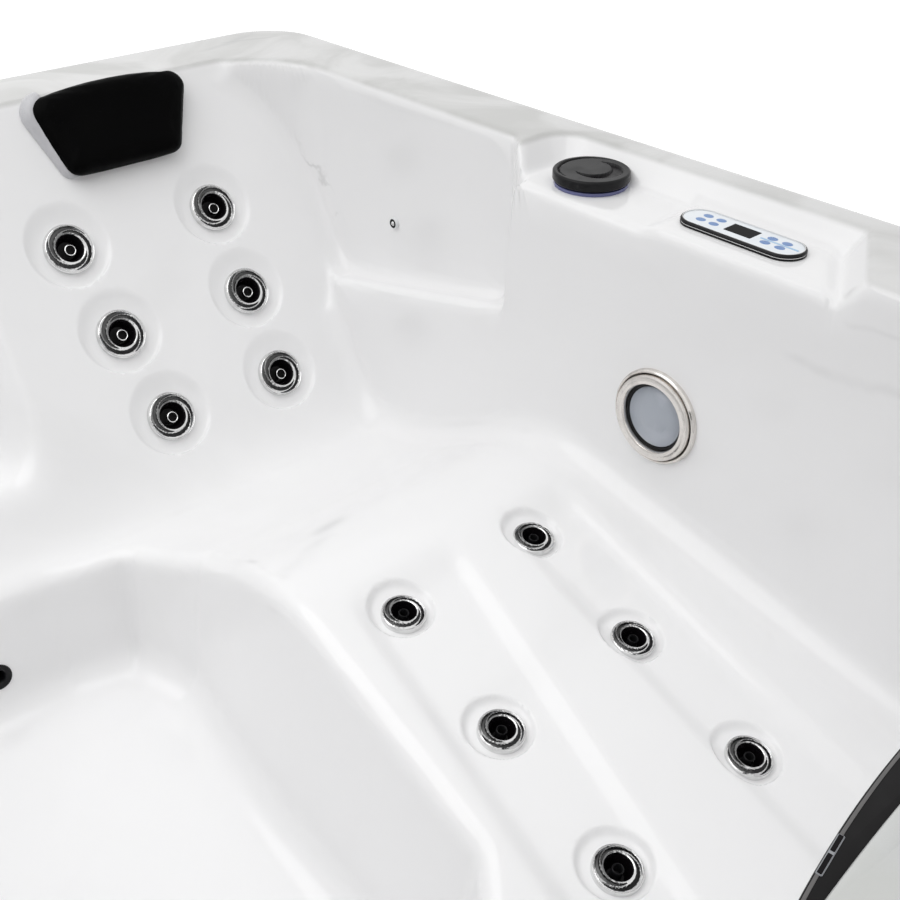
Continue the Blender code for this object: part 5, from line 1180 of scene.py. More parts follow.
def cushion_finish():
    """Black soft vinyl with a fine leather grain and satin sheen."""
    finish = Finish("pillow_vinyl", CUSHION_BLACK, CUSHION_ROUGH,
                    Specular_IOR_Level=CUSHION_SPECULAR)
    cells = finish.node("TexVoronoi", {"Vector": finish.place(), "Scale": CUSHION_CELLS})
    wear = finish.clouds(*CUSHION_CLOUDS)
    finish.tint(wear * CUSHION_SHARE, CUSHION_WORN)
    finish.rough(CUSHION_LOW_ROUGH + CUSHION_WORN_ROUGH * wear + CUSHION_CELL_ROUGH * cells)
    finish.bump(cells, *CUSHION_RELIEF)
    return finish.material


def clouded_finish(name, colour, second, look):
    """A colour clouded with a second one, over a fine grain: lens, filter paper, panel film."""
    fixed = {key: look[key] for key in ("Coat_Weight", "Coat_Roughness") if key in look}
    finish = Finish(name, colour, look["roughness"], **fixed)
    finish.tint(finish.clouds(*look["clouds"]) * look["share"], second)
    finish.bump(finish.noise(*look["grain"]), *look["relief"])
    return finish.material


def grained_finish(name, colour, dark, third, look):
    """A colour with a stretched dark grain and patches of a third: boards and timber."""
    finish = Finish(name, colour, look["plain"])
    grain = finish.noise(*look["grain"])
    finish.tint(finish.ramp(grain, *look["ramp"]) * look["share"], dark)
    finish.tint(finish.clouds(*look["clouds"]) * look["cloud_share"], third)
    finish.rough(look["low_rough"] + look["grain_rough"] * grain)
    finish.bump(grain, *look["relief"])
    return finish.material


def make_finishes():
    """One finish for each material slot of the loaded parts, and the dressed pieces' own."""
    finishes = {"acrylic": acrylic_finish(), "valve": valve_finish(), "cushion": cushion_finish()}
    for table, make in ((METALS, metal_finish), (PLASTICS, plastic_finish),
                        (CLOUDED, clouded_finish), (GRAINED, grained_finish)):
        for key, row in table.items():
            finishes[key] = make(*row)
    return finishes


FINISHES = make_finishes()


def refinish_loaded_parts():
    """Give the loaded parts that stay the finish of their own slot."""
    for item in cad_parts.values():
        for slot in item.material_slots:
            kind = slot.material.name.split(".")[0]
            slot.material = FINISHES[kind]
    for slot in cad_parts["diverter_valve"].material_slots:
        slot.material = FINISHES["valve"]


# Mesh helpers

def linked(name, data):
    """A new object in the scene."""
    item = bpy.data.objects.new(name, data)
    bpy.context.scene.collection.objects.link(item)
    return item


def add_piece(name, mesh, slot, body="tub", finish=None, stands_for=()):
    """A piece in its finish, which rides on a body and may stand for loaded parts."""
    item = linked(name, mesh)
    if not mesh.materials:
        mesh.materials.append(FINISHES[finish or slot])
    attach(item, body)
    if stands_for:
        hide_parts(*stands_for)
    return item


def finished_mesh(bm, name, matrix=None, angle=SHARP_ANGLE):
    """Outward, smooth-shaded mesh in the row frame."""
    bmesh.ops.recalc_face_normals(bm, faces=bm.faces)
    mesh = bpy.data.meshes.new(name)
    bm.to_mesh(mesh)
    bm.free()
    if matrix:
        mesh.transform(matrix)
    mesh.shade_smooth()
    mesh.set_sharp_from_angle(angle=angle)
    return mesh


def loft(name, rings, matrix=None, closed=False, angle=SHARP_ANGLE):
    """Skin over rings of points, all of one length: closed into a loop, or capped."""
    bm = bmesh.new()
    rows = [[bm.verts.new(point) for point in ring] for ring in rings]
    pairs = list(zip(rows, rows[1:] + rows[:1])) if closed else list(zip(rows, rows[1:]))
    for low, high in pairs:
        for index in range(len(low)):
            after = (index + 1) % len(low)
            bm.faces.new((low[index], low[after], high[after], high[index]))
    if not closed:
        bm.faces.new(rows[0][::-1])
        bm.faces.new(rows[-1])
    return finished_mesh(bm, name, matrix, angle)


def circle(radius, height, steps=ROUND_STEPS):
    angles = [2 * math.pi * index / steps for index in range(steps)]
    return [(radius * math.cos(angle), radius * math.sin(angle), height) for angle in angles]


def turned(name, profile, matrix, steps=ROUND_STEPS, closed=False):
    """A profile of (radius, height) points turned round local Z."""
    rings = [circle(radius, height, steps) for radius, height in profile]
    return loft(name, rings, matrix, closed)


def scaled(profile, radius, rise=0.0):
    """A profile of (share, height) points at a radius, lifted by a rise."""
    return [(share * radius, height + rise) for share, height in profile]


def rounded(points, radius, steps=4):
    """An open profile whose inner corners are rounded off."""
    result = [points[0]]
    for before, here, after in zip(points, points[1:], points[2:]):
        here = Vector(here)
        back, ahead = Vector(before) - here, Vector(after) - here
        reach = min(radius, back.length * ROUND_REACH, ahead.length * ROUND_REACH)
        start, end = here + back.normalized() * reach, here + ahead.normalized() * reach
        for step in range(steps + 1):
            share = step / steps
            result.append(tuple(start.lerp(here, share).lerp(here.lerp(end, share), share)))
    return result + [points[-1]]


def aim(place, axis, roll=0.0):
    """Matrix that puts local +Z along an axis at a place."""
    turn = Vector(axis).normalized().to_track_quat("Z", "Y").to_matrix().to_4x4()
    return Matrix.Translation(place) @ turn @ Matrix.Rotation(roll, 4, "Z")


def soft_box(name, low, high, radius, segments=3):
    """A box with rounded edges."""
    low, high = Vector(low), Vector(high)
    bm = bmesh.new()
    bmesh.ops.create_cube(bm, size=1.0)
    bmesh.ops.scale(bm, vec=high - low, verts=bm.verts)
    bmesh.ops.translate(bm, vec=(low + high) / 2, verts=bm.verts)
    bmesh.ops.bevel(bm, geom=bm.edges[:], offset=radius, segments=segments, affect="EDGES")
    return finished_mesh(bm, name)


def cut(item, low, high):
    """Cut a box out of a piece."""
    subtract(item, linked("cutter", soft_box("cutter", low, high, CUTTER_EDGE, 1)))


def subtract(item, cutter):
    """Cut a cutter out of a piece and drop the cutter."""
    change = item.modifiers.new("cut", "BOOLEAN")
    change.operation = "DIFFERENCE"
    change.solver = "EXACT"
    change.object = cutter
    apply_modifiers(item)
    bpy.data.objects.remove(cutter, do_unlink=True)


def apply_modifiers(item):
    """Turn a piece's modifiers into mesh."""
    graph = bpy.context.evaluated_depsgraph_get()
    mesh = bpy.data.meshes.new_from_object(item.evaluated_get(graph))
    item.modifiers.clear()
    item.data = mesh


# Tub skin

def finer(plan, times):
    """The same grid with each step divided, by straight lines between its points."""
    rows = np.linspace(0, plan.shape[0] - 1, (plan.shape[0] - 1) * times + 1)
    columns = np.linspace(0, plan.shape[1] - 1, (plan.shape[1] - 1) * times + 1)
    along = np.array([np.interp(rows, range(len(column)), column) for column in plan.T]).T
    return np.array([np.interp(columns, range(len(row)), row) for row in along])


def jet_spots():
    """Name, place, axis and radius of each jet, and how wide its dish is."""
    for number, place in enumerate(back_jet_places(), 1):
        yield f"back_jet_{number}", place, BACK_AXIS, BACK_JET_RADIUS, BACK_DISH_SHARE
    for number, place in enumerate(leg_jet_places(), 1):
        yield f"leg_jet_{number}", place, LEG_AXIS, LEG_JET_RADIUS, LEG_DISH_SHARE


def off_axis(points, place, axis):
    """Distance of points from the line through a place along an axis."""
    away = points - np.array(place)
    along = away @ np.array(axis)
    return np.linalg.norm(away - along[..., None] * np.array(axis), axis=-1)


def skin_height(x, y):
    """The tub's heights, with a shallow dish sunk round each jet."""
    z = basin_height(x, y)
    for _, place, axis, radius, share in jet_spots():
        middle = place + axis.cross(Vector((1, 0, 0))) * DISH_OFFSET
        away = off_axis(np.stack((x, y, z), -1), middle, axis)
        seat = radius + DISH_MARGIN
        rise = np.clip((share * radius - away) / (share * radius - seat), 0.0, 1.0)
        z = z - DISH_DEPTH * (1.0 - (1.0 - rise)**DISH_POWER) / axis.z
    return z


def fitting_holes():
    """Place, axis, radius and straight half length of each hole through the skin."""
    for _, place, axis, radius, _ in jet_spots():
        yield place, axis, radius * HOLE_SHARE, 0.0
    yield KNOB_PLACE, UP, DIVERTER_RADIUS * HOLE_SHARE, 0.0
    yield LIGHT_PLACE, WALL_AXIS, LIGHT_RADIUS * HOLE_SHARE, 0.0
    for place, axis, radius in (RETURN_SPOT, SUCTION_SPOT):
        yield place, axis, radius * HOLE_SHARE, 0.0
    yield (panel_matrix().translation, UP, PANEL_WIDTH / 2 - PANEL_COVER,
           (PANEL_LENGTH - PANEL_WIDTH) / 2)


def add_tub_skin():
    """The acrylic skin on a finer grid than the loaded part's, with its fittings' holes."""
    steps_across = np.linspace(-1, 1, GRID_ACROSS + 1)
    steps_along = np.linspace(-1, 1, GRID_ALONG + 1)
    x, y = round_corner(*np.meshgrid(steps_across, steps_along))
    x, y = spread_plan(x, y, SPREAD_ROUNDS)
    x, y = finer(x, GRID_FINER), finer(y, GRID_FINER)
    places = np.stack((x, y, skin_height(x, y)), -1)
    bm = bmesh.new()
    rows = [[bm.verts.new(place) for place in row] for row in places]
    for low, high in zip(rows, rows[1:]):
        for index in range(len(low) - 1):
            bm.faces.new((low[index], low[index + 1], high[index + 1], high[index]))
    refine_dishes(bm)
    rim = [edge for edge in bm.edges if edge.is_boundary]
    skirt = bmesh.ops.extrude_edge_only(bm, edges=rim)
    lowered = [item for item in skirt["geom"] if isinstance(item, bmesh.types.BMVert)]
    bmesh.ops.translate(bm, vec=(0, 0, RIM_EDGE_RADIUS - SKIRT_HEIGHT), verts=lowered)
    open_skimmer(bm)
    open_holes(bm)
    mesh = bpy.data.meshes.new("tub_skin")
    bm.to_mesh(mesh)
    bm.free()
    mesh.shade_smooth()
    skin = add_piece("tub_skin", mesh, "acrylic", stands_for=("shell",))
    wall = skin.modifiers.new("wall", "SOLIDIFY")
    wall.thickness = SHELL_WALL
    wall.offset = -1.0
    apply_modifiers(skin)
    skin.data.set_sharp_from_angle(angle=SKIN_SHARP)
    return skin


def refine_dishes(bm):
    """Divide the skin's cells round the fittings again, and put the new points at its height."""
    places = np.array([vert.co for vert in bm.verts])
    near = np.zeros(len(places), bool)
    for _, place, _, radius, share in jet_spots():
        near |= np.linalg.norm(places - np.array(place), axis=-1) < radius * share * DISH_REACH
    near |= np.linalg.norm(places - np.array(LIGHT_PLACE), axis=-1) < LIGHT_RADIUS * DISH_REACH
    for vert, chosen in zip(bm.verts, near):
        vert.tag = bool(chosen)
    edges = [edge for edge in bm.edges if edge.verts[0].tag and edge.verts[1].tag]
    cut_up = bmesh.ops.subdivide_edges(bm, edges=edges, cuts=DISH_CUTS, use_grid_fill=True)
    fresh = [item for item in cut_up["geom_inner"] if isinstance(item, bmesh.types.BMVert)]
    plan = np.array([vert.co for vert in fresh])
    heights = skin_height(plan[:, 0], plan[:, 1])
    for vert, height in zip(fresh, heights):
        vert.co.z = height


def open_holes(bm):
    """Open the skin under each fitting, and round off the edge of each hole."""
    for place, axis, radius, reach in fitting_holes():
        bm.faces.ensure_lookup_table()
        doomed = []
        for face in bm.faces:
            away = face.calc_center_median() - place
            if away.length < radius + reach and from_core(away, axis, reach).length < radius:
                doomed.append(face)
        rim = {vert for face in doomed for vert in face.verts}
        bmesh.ops.delete(bm, geom=doomed, context="FACES")
        for vert in rim:
            if vert.is_valid:
                offset = from_core(vert.co - place, axis, reach)
                vert.co += offset * (radius / offset.length - 1.0)


def from_core(away, axis, reach):
    """Offset across an axis from the straight core of a round or a long hole."""
    flat = away - axis * away.dot(axis)
    flat.y -= max(-reach, min(reach, flat.y))
    return flat


def open_skimmer(bm):
    """Cut the skimmer's opening into the deck and the foot wall."""
    low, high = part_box("skimmer_bucket")
    face_low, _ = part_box("skimmer_face")
    back = low.y - LID_SWING
    sides = ((Vector((low.x - GAP, 0, 0)), Vector((1, 0, 0))),
             (Vector((high.x + GAP, 0, 0)), Vector((-1, 0, 0))),
             (Vector((0, back, 0)), Vector((0, 1, 0))),
             (Vector((0, 0, face_low.z - GAP)), Vector((0, 0, 1))))
    for point, normal in sides:
        near = [item for group in (bm.verts, bm.edges, bm.faces) for item in group]
        bmesh.ops.bisect_plane(bm, geom=near, plane_co=point, plane_no=normal)
    doomed = []
    for face in bm.faces:
        centre = face.calc_center_median()
        if centre.y < SKIMMER_REACH and all((centre - point).dot(normal) > 0
                                            for point, normal in sides):
            doomed.append(face)
    bmesh.ops.delete(bm, geom=doomed, context="FACES")


# Jets

def crescent_depth(share, angle):
    """Depth, 0 to 1, of the crescents that wind in towards the cup of a jet."""
    depth = 0.0
    for arm in range(CRESCENTS):
        start = 2 * math.pi * arm / CRESCENTS
        wound = ((angle - start) % (2 * math.pi)) / CRESCENT_SPAN
        if wound > 1.0:
            continue
        middle = CRESCENT_OUTER + (CRESCENT_INNER - CRESCENT_OUTER) * wound
        half = CRESCENT_HALF * math.sin(math.pi * wound) ** CRESCENT_TAPER
        edge = (half - abs(share - middle)) / CRESCENT_EDGE
        depth = max(depth, min(max(edge, 0.0), 1.0))
    return depth


def crescent_ring(radius, share, height, depth, roll):
    """A ring of points with the crescents pressed into it."""
    ring = []
    for index in range(SWIRL_STEPS):
        angle = 2 * math.pi * index / SWIRL_STEPS
        drop = depth * crescent_depth(share, angle - roll)
        ring.append((radius * share * math.cos(angle), radius * share * math.sin(angle),
                     height - drop))
    return ring


def shadow_crescent_floors(mesh, radius, roll, finish):
    """Put the floors of the crescents into a second, darker finish: painted shadow in the grooves.
    """
    mesh.materials.append(FINISHES[finish])
    for polygon in mesh.polygons:
        spot = polygon.center
        share = math.hypot(spot.x, spot.y) / radius
        pressed = crescent_depth(share, math.atan2(spot.y, spot.x) - roll)
        if polygon.normal.z > FACING_UP and pressed > SHADOW_DEPTH_SHARE:
            polygon.material_index = 1


def swirl_bezel(name, radius, matrix, roll):
    """Pressed steel face of a jet: a rolled lip, and crescents that wind in to the cup."""
    shares, heights = zip(*SWIRL_PROFILE)
    rings = [circle(radius * share, height, SWIRL_STEPS) for share, height in LIP_PROFILE]
    for share in np.linspace(shares[-1], shares[0], SWIRL_RINGS):
        rings.append(crescent_ring(radius, share, np.interp(share, shares, heights),
                                   CRESCENT_DEPTH, roll))
    rings += [circle(radius * shares[0], height, SWIRL_STEPS) for height in MOUTH_HEIGHTS]
    mesh = loft(name, rings, closed=True)
    mesh.materials.append(FINISHES["steel"])
    # Painted shadow on the crescents' floors
    shadow_crescent_floors(mesh, radius, roll, "groove")
    # Painted dark reflection, stored on one side of the swirl
    store_painted_reflection(mesh, radius)
    mesh.transform(matrix)
    return mesh


def store_painted_reflection(mesh, radius):
    """Keep, for each point of a bezel, a painted dark reflection: how far its steel would mirror
    the dark side of a room.
    """
    painted_reflection = mesh.attributes.new("painted_reflection", "FLOAT", "POINT")
    low, high = REFLECTION_ZONE
    for vert, item in zip(mesh.vertices, painted_reflection.data):
        spot = vert.co.xy / radius
        zone = min((spot.length - low) / REFLECTION_EDGE, (high - spot.length) / REFLECTION_EDGE, 1.0)
        item.value = max(0.0, zone) * max(0.0, 0.5 + REFLECTION_GAIN * spot.dot(REFLECTION_TOWARD))


def add_jet(name, place, axis, radius, roll):
    """Steel face, black cup and centre nozzle of a jet; all turn together."""
    body = name + "_face"
    seat = place + axis * (GAP * 3 - JET_SEAT_SINK + JET_FLANGE)
    matrix = aim(seat, axis)
    radius *= BEZEL_SCALE
    add_piece(name + "_bezel", swirl_bezel(name + "_bezel", radius, matrix, roll), "steel", body,
              stands_for=(body,))
    cup = turned(name + "_cup", scaled(CUP_PROFILE, radius), matrix)
    add_piece(name + "_cup", cup, "black_plastic", body, "cup")
    on_leg = body.startswith("leg")
    rise = LEG_NOZZLE_RISE if on_leg else 0.0
    shift = Vector((0, 0, 0)) if on_leg else NOZZLE_SHIFT
    nozzle = scaled(NOZZLE_PROFILE, radius, rise)
    ring = turned(name + "_nozzle", nozzle, matrix @ Matrix.Translation(shift), closed=True)
    if on_leg:
        add_piece(name + "_nozzle", ring, "black_plastic", body, "knob")
    else:
        add_piece(name + "_nozzle", ring, "steel", body)


def add_jets():
    for index, (name, place, axis, radius, _) in enumerate(jet_spots()):
        add_jet(name, place, axis, radius, JET_ROLL + index * JET_ROLL_STEP)


# Controls

def moon_depth(across, along):
    """Depth, 0 to 1, of the crescents in the knob's top: inside one circle, outside another."""
    depth = 0.0
    for (ox, oy, outer), (ix, iy, inner) in KNOB_MOONS:
        inside = (outer - math.hypot(across - ox, along - oy)) / KNOB_MOON_EDGE
        outside = (math.hypot(across - ix, along - iy) - inner) / KNOB_MOON_EDGE
        depth = max(depth, min(inside, outside, 1.0))
    return depth


def add_diverter_knob():
    """Charcoal knob: a low drum with crescents pressed into its top, their floors darkened as
    painted shadow.
    """
    low, top = KNOB_LOW, DIVERTER_HEIGHT + GAP
    radius = DIVERTER_RADIUS
    side = rounded([(radius - KNOB_EDGE, low), (radius, low + KNOB_EDGE),
                    (radius, top - KNOB_EDGE), (radius * KNOB_TOP_SHARE, top),
                    (radius * KNOB_FACE_SHARE, top)], KNOB_EDGE)
    rings = [circle(KNOB_SOCKET, top / 2, KNOB_STEPS), circle(KNOB_SOCKET, low, KNOB_STEPS)]
    rings += [circle(at, height, KNOB_STEPS) for at, height in side]
    for share in np.linspace(KNOB_FACE_SHARE, KNOB_INNER_SHARE, KNOB_RINGS):
        face = top - KNOB_DISH * (1.0 - share**2)
        rings.append([(px, py, face - KNOB_MOON_DEPTH * moon_depth(px / radius, py / radius))
                      for px, py, _ in circle(radius * share, face, KNOB_STEPS)])
    mesh = loft("diverter_cap", rings)
    mesh.materials.append(FINISHES["knob"])
    # The crescents' floors take the darker cup finish as painted shadow
    mesh.materials.append(FINISHES["cup"])
    for polygon in mesh.polygons:
        spot = polygon.center / radius
        if spot.z > KNOB_FLOOR and moon_depth(spot.x, spot.y) > SHADOW_DEPTH_SHARE:
            polygon.material_index = 1
    mesh.transform(aim(KNOB_PLACE, UP, KNOB_TURN))
    add_piece("diverter_cap", mesh, "black_plastic", "diverter_knob",
              stands_for=("diverter_knob",))


def panel_matrix():
    place = (side_x(PANEL_DECK), head_y(PANEL_DISTANCE), PAD_LEVEL + GAP)
    return Matrix.Translation(place)


def stadium_ring(inset, height):
    outline = stadium(PANEL_LENGTH - inset * 2, PANEL_WIDTH - inset * 2, PANEL_END_STEPS)
    return [(px, py, height) for px, py in outline]


def box_ring(half_x, half_y, height):
    """Ring of as many points as the stadium's, round a rectangle."""
    return [(max(-half_x, min(half_x, px)), max(-half_y, min(half_y, py)), height)
            for px, py, _ in stadium_ring(0.0, 0.0)]


def add_control_panel():
    """Dark frame with a bright trim line, the film, its keys, band and display window."""
    matrix = panel_matrix()
    top = PANEL_BEZEL_HEIGHT
    rings = [box_ring(*CASE_HALF, -CASE_DEPTH), box_ring(*CASE_HALF, 0.0)]
    rings += [stadium_ring(inset, top * share) for inset, share in PANEL_RIM]
    rings.append(stadium_ring(PANEL_BEZEL_RIM, FILM_LOW))
    add_piece("panel_frame", loft("panel_frame", rings, matrix), "black_plastic",
              stands_for=("control_panel",))
    trim = [stadium_ring(inset, height) for inset, height in PANEL_TRIM]
    add_piece("panel_trim", loft("panel_trim", trim, matrix, closed=True), "steel")
    seam = [stadium_ring(inset, top * share) for inset, share in PANEL_SEAM]
    add_piece("panel_seam", loft("panel_seam", seam, matrix, closed=True), "steel")
    film = [stadium_ring(inset, height) for inset, height in PANEL_FILM]
    add_piece("panel_film", loft("panel_film", film, matrix), "overlay",
              stands_for=("panel_overlay",))
    add_keys()
    half_x, half_y = DISPLAY_HALF
    window = soft_box("panel_display", (-half_x, -half_y, FILM_TOP - GAP),
                      (half_x, half_y, FILM_TOP + KEY_RISE), KEY_RISE / 2)
    window.transform(matrix)
    add_piece("panel_display", window, "black_plastic", finish="display")
    band = soft_box("panel_band", (-BAND_HALF, BAND_ENDS[1], FILM_TOP - GAP),
                    (BAND_HALF, BAND_ENDS[0], FILM_TOP + BAND_RISE), GAP / 2)
    band.transform(matrix)
    add_piece("panel_band", band, "overlay", finish="band")


def add_keys():
    """Eight round keys, domed a little, in two groups."""
    number = 0
    for along in KEY_PLACES:
        for across in (-KEY_OFFSET, KEY_OFFSET):
            number += 1
            name = f"panel_key_{number}"
            dome = [(share * KEY_RADIUS, FILM_TOP + rise * KEY_RISE) for share, rise in KEY_PROFILE]
            matrix = panel_matrix() @ Matrix.Translation((across, along, 0))
            matrix = matrix @ Matrix.Diagonal((1.0, KEY_STRETCH, 1.0, 1.0))
            add_piece(name, turned(name, dome, matrix, KEY_STEPS), "overlay", finish="key")


# Light and water fittings

def add_light():
    """Stepped steel bezel, and the ribbed frosted lens behind it; black rings paint the shadow in
    the bezel's groove and round the lens.
    """
    matrix = aim(LIGHT_PLACE, WALL_AXIS)
    ring = scaled(LIGHT_BEZEL_PROFILE, LIGHT_RADIUS)
    add_piece("light_ring", turned("light_ring", ring, matrix, LIGHT_STEPS, closed=True), "steel",
              finish="bezel", stands_for=("light_bezel",))
    # Black rings that paint the shadow in the bezel's groove and in the gap round the lens
    for name, profile in (("light_groove_shadow", LIGHT_GROOVE_SHADOW), ("light_gap_shadow", LIGHT_GAP_SHADOW)):
        ring = scaled(profile, LIGHT_RADIUS)
        add_piece(name, turned(name, ring, matrix, LIGHT_STEPS, closed=True), "black_plastic")
    lens = [(LIGHT_LENS_EDGE, LENS_LOW), (LIGHT_LENS_EDGE, LENS_HIGH)]
    for index in range(LENS_RIBS):
        for inset, height in LENS_RIB:
            share = 1.0 - (index + inset) * LENS_RIB_PITCH
            dome = LENS_DOME * (1.0 - share**2)
            height *= (share - LENS_MIDDLE) / (1.0 - LENS_MIDDLE)
            lens.append((LIGHT_LENS_EDGE * share, LENS_HIGH + dome + height))
    lens.append((LIGHT_LENS_EDGE * LENS_MIDDLE, LENS_HIGH + LENS_DOME))
    add_piece("light_glass", turned("light_glass", lens, matrix, LIGHT_STEPS), "lens",
              stands_for=("light_lens",))


def add_sensor():
    """Probe head: a short pale stub with a dark end ring and a bright tip."""
    drop = SENSOR_DEPTH - BASIN_EDGE_RADIUS
    x = side_x(RECESS_DECK) - BASIN_EDGE_RADIUS - drop * math.tan(WALL_DRAFT)
    matrix = aim(Vector((x, head_y(SENSOR_DISTANCE), RIM_HEIGHT - SENSOR_DEPTH)), WALL_AXIS)
    for name, profile, slot, finish in (
            ("sensor_stub", SENSOR_PROFILE, "steel", "white_plastic"),
            ("sensor_ring", SENSOR_RING, "black_plastic", "black_plastic"),
            ("sensor_tip", SENSOR_TIP, "steel", "steel")):
        stands_for = ("temperature_sensor",) if name == "sensor_stub" else ()
        mesh = turned(name, scaled(profile, SENSOR_RADIUS), matrix)
        add_piece(name, mesh, slot, finish=finish, stands_for=stands_for)


def add_return_fitting():
    """Black return fitting with a rolled collar."""
    place, axis, radius = RETURN_SPOT
    profile = scaled(RETURN_PROFILE, radius)
    mesh = turned("return_collar", profile, aim(place, axis), closed=True)
    add_piece("return_collar", mesh, "black_plastic", stands_for=("return_fitting",))


def add_suction_cover():
    """Domed anti-trap cover with a ring of water slots."""
    place, axis, radius = SUCTION_SPOT
    profile = scaled(COVER_PROFILE, radius)
    mesh = turned("suction_grille", profile, Matrix.Identity(4), COVER_STEPS)
    cover = add_piece("suction_grille", mesh, "white_plastic", stands_for=("suction_cover",))
    cut_slots(cover, radius)
    cover.data.transform(aim(place, axis))


def cut_slots(cover, radius):
    """Cut the water slots round the dome in one pass."""
    bm = bmesh.new()
    for index in range(COVER_SLOTS):
        turn = Matrix.Rotation(2 * math.pi * index / COVER_SLOTS, 4, "Z")
        size = Matrix.Diagonal((radius * SLOT_LENGTH, SLOT_WIDTH, SLOT_DEPTH, 1.0))
        spot = Matrix.Translation((radius * SLOT_MIDDLE, 0, SLOT_HEIGHT))
        bmesh.ops.create_cube(bm, size=1.0, matrix=turn @ spot @ size)
    subtract(cover, linked("slots", finished_mesh(bm, "slots")))


# Pillow

def add_pillow():
    """Vinyl headrest over its grey backing, puffed as cloth round the pinned base."""
    matrix = pillow_matrix()
    base = PILLOW_BASE
    back = [backing_ring(level) for level in range(len(BACKING_EDGE))]
    add_piece("pillow_shell", loft("pillow_shell", back, matrix), "grey_plastic", "pillow",
              "backing", ("pillow_backing",))
    outline = pillow_outline()
    middle = sum(outline, Vector((0.0, 0.0))) / len(outline)
    rings = []
    for size, rise in PILLOW_FORM:
        spots = [middle.lerp(point, size) for point in outline]
        rings.append([(spot.x, spot.y, base + GAP + PILLOW_THICKNESS * rise) for spot in spots])
    mesh = loft("pillow_cushion", rings)
    cushion = add_piece("pillow_cushion", mesh, "cushion", "pillow", stands_for=("pillow",))
    puff(cushion, base + GAP)
    hollow_face(cushion, base + GAP)
    cushion.data.transform(matrix)


def puff(cushion, base):
    """Blow the cushion up as cloth: its base is pinned, and no point moves past the cap."""
    remesh = cushion.modifiers.new("remesh", "REMESH")
    remesh.mode = "VOXEL"
    remesh.voxel_size = PILLOW_VOXEL
    apply_modifiers(cushion)
    mesh = cushion.data
    start = np.array([vert.co for vert in mesh.vertices])
    pinned = cushion.vertex_groups.new(name="base")
    low = [vert.index for vert in mesh.vertices if vert.co.z < base + PILLOW_VOXEL]
    pinned.add(low, 1.0, "REPLACE")
    cloth = cushion.modifiers.new("cloth", "CLOTH")
    cloth.settings.vertex_group_mass = "base"
    cloth.settings.use_pressure = True
    cloth.settings.uniform_pressure_force = CLOTH_PRESSURE
    cloth.settings.effector_weights.gravity = 0.0
    for step in range(1, CLOTH_STEPS + 1):
        bpy.context.scene.frame_set(step)
    apply_modifiers(cushion)
    bpy.context.scene.frame_set(1)
    moved = np.array([vert.co for vert in cushion.data.vertices]) - start
    length = np.linalg.norm(moved, axis=1, keepdims=True)
    moved *= np.minimum(1.0, CLOTH_CAP / np.maximum(length, CLOTH_LEAST))
    for vert, place in zip(cushion.data.vertices, start + moved):
        vert.co = place
    cushion.vertex_groups.clear()
    finer_mesh = cushion.modifiers.new("finer", "SUBSURF")
    finer_mesh.levels = 1
    smooth = cushion.modifiers.new("even", "SMOOTH")
    smooth.iterations = PILLOW_SMOOTH
    apply_modifiers(cushion)
    cushion.data.shade_smooth()


def hollow_face(cushion, base):
    """Draw the face in a little between its rolled top edge and the sides."""
    for vert in cushion.data.vertices:
        across = abs(vert.co.x) / (PILLOW_TOP_WIDTH / 2)
        down = -vert.co.y / PILLOW_LENGTH
        dip = max(0.0, 1.0 - across**2) * max(0.0, math.sin(math.pi * min(max(down, 0.0), 1.0)))
        rise = (vert.co.z - base) / PILLOW_THICKNESS
        vert.co.z -= PILLOW_HOLLOW * dip * max(rise, 0.0)


# Skimmer

def bowed_plan(back, back_bow, front, front_bow, half):
    """Plan with a bowed back and a bowed front, counter-clockwise."""
    shares = [2 * index / SKIMMER_ARC_STEPS - 1 for index in range(SKIMMER_ARC_STEPS + 1)]
    points = [(SKIMMER_X + share * half, back + back_bow * (1 - share**2)) for share in shares]
    return points + [(SKIMMER_X - share * half, front + front_bow * (1 - share**2))
                     for share in shares]


def front_line(across):
    """Y of the skimmer's bowed front line, by a share of its half width."""
    return SKIMMER_FRONT_LINE + SKIMMER_BOW * (1 - across**2)


def front_ring(inset, height):
    """One ring of the skimmer's bowed front, drawn in on every side by an inset."""
    plan = bowed_plan(SKIMMER_BACK_LINE + inset, SKIMMER_BACK_BOW, SKIMMER_FRONT_LINE - inset,
                      SKIMMER_BOW, SKIMMER_HALF - inset)
    return [(px, py, height) for px, py in plan]


def add_skimmer_front():
    """Dark bowed front with a crisp top edge, the mouth and a catch for the lid."""
    low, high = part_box("skimmer_face")
    rings = [front_ring(0.0, low.z), front_ring(0.0, high.z - FRONT_EDGE)]
    cut_edge = FRONT_EDGE * EDGE_CUT
    rings += [front_ring(cut_edge, high.z - cut_edge), front_ring(FRONT_EDGE, high.z)]
    front = add_piece("skimmer_front", loft("skimmer_front", rings), "black_plastic", finish="bar",
                      stands_for=("skimmer_face",))
    flap_low, flap_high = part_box("skimmer_weir")
    mouth = MOUTH_WIDTH / 2
    cut(front, (SKIMMER_X - mouth, low.y - OVERRUN, flap_low.z - MOUTH_MARGIN),
        (SKIMMER_X + mouth, high.y + OVERRUN, flap_high.z + MOUTH_MARGIN))
    add_catch(high.z)
    # A painted highlight along the front's basin-side edge
    add_front_highlight(high.z)


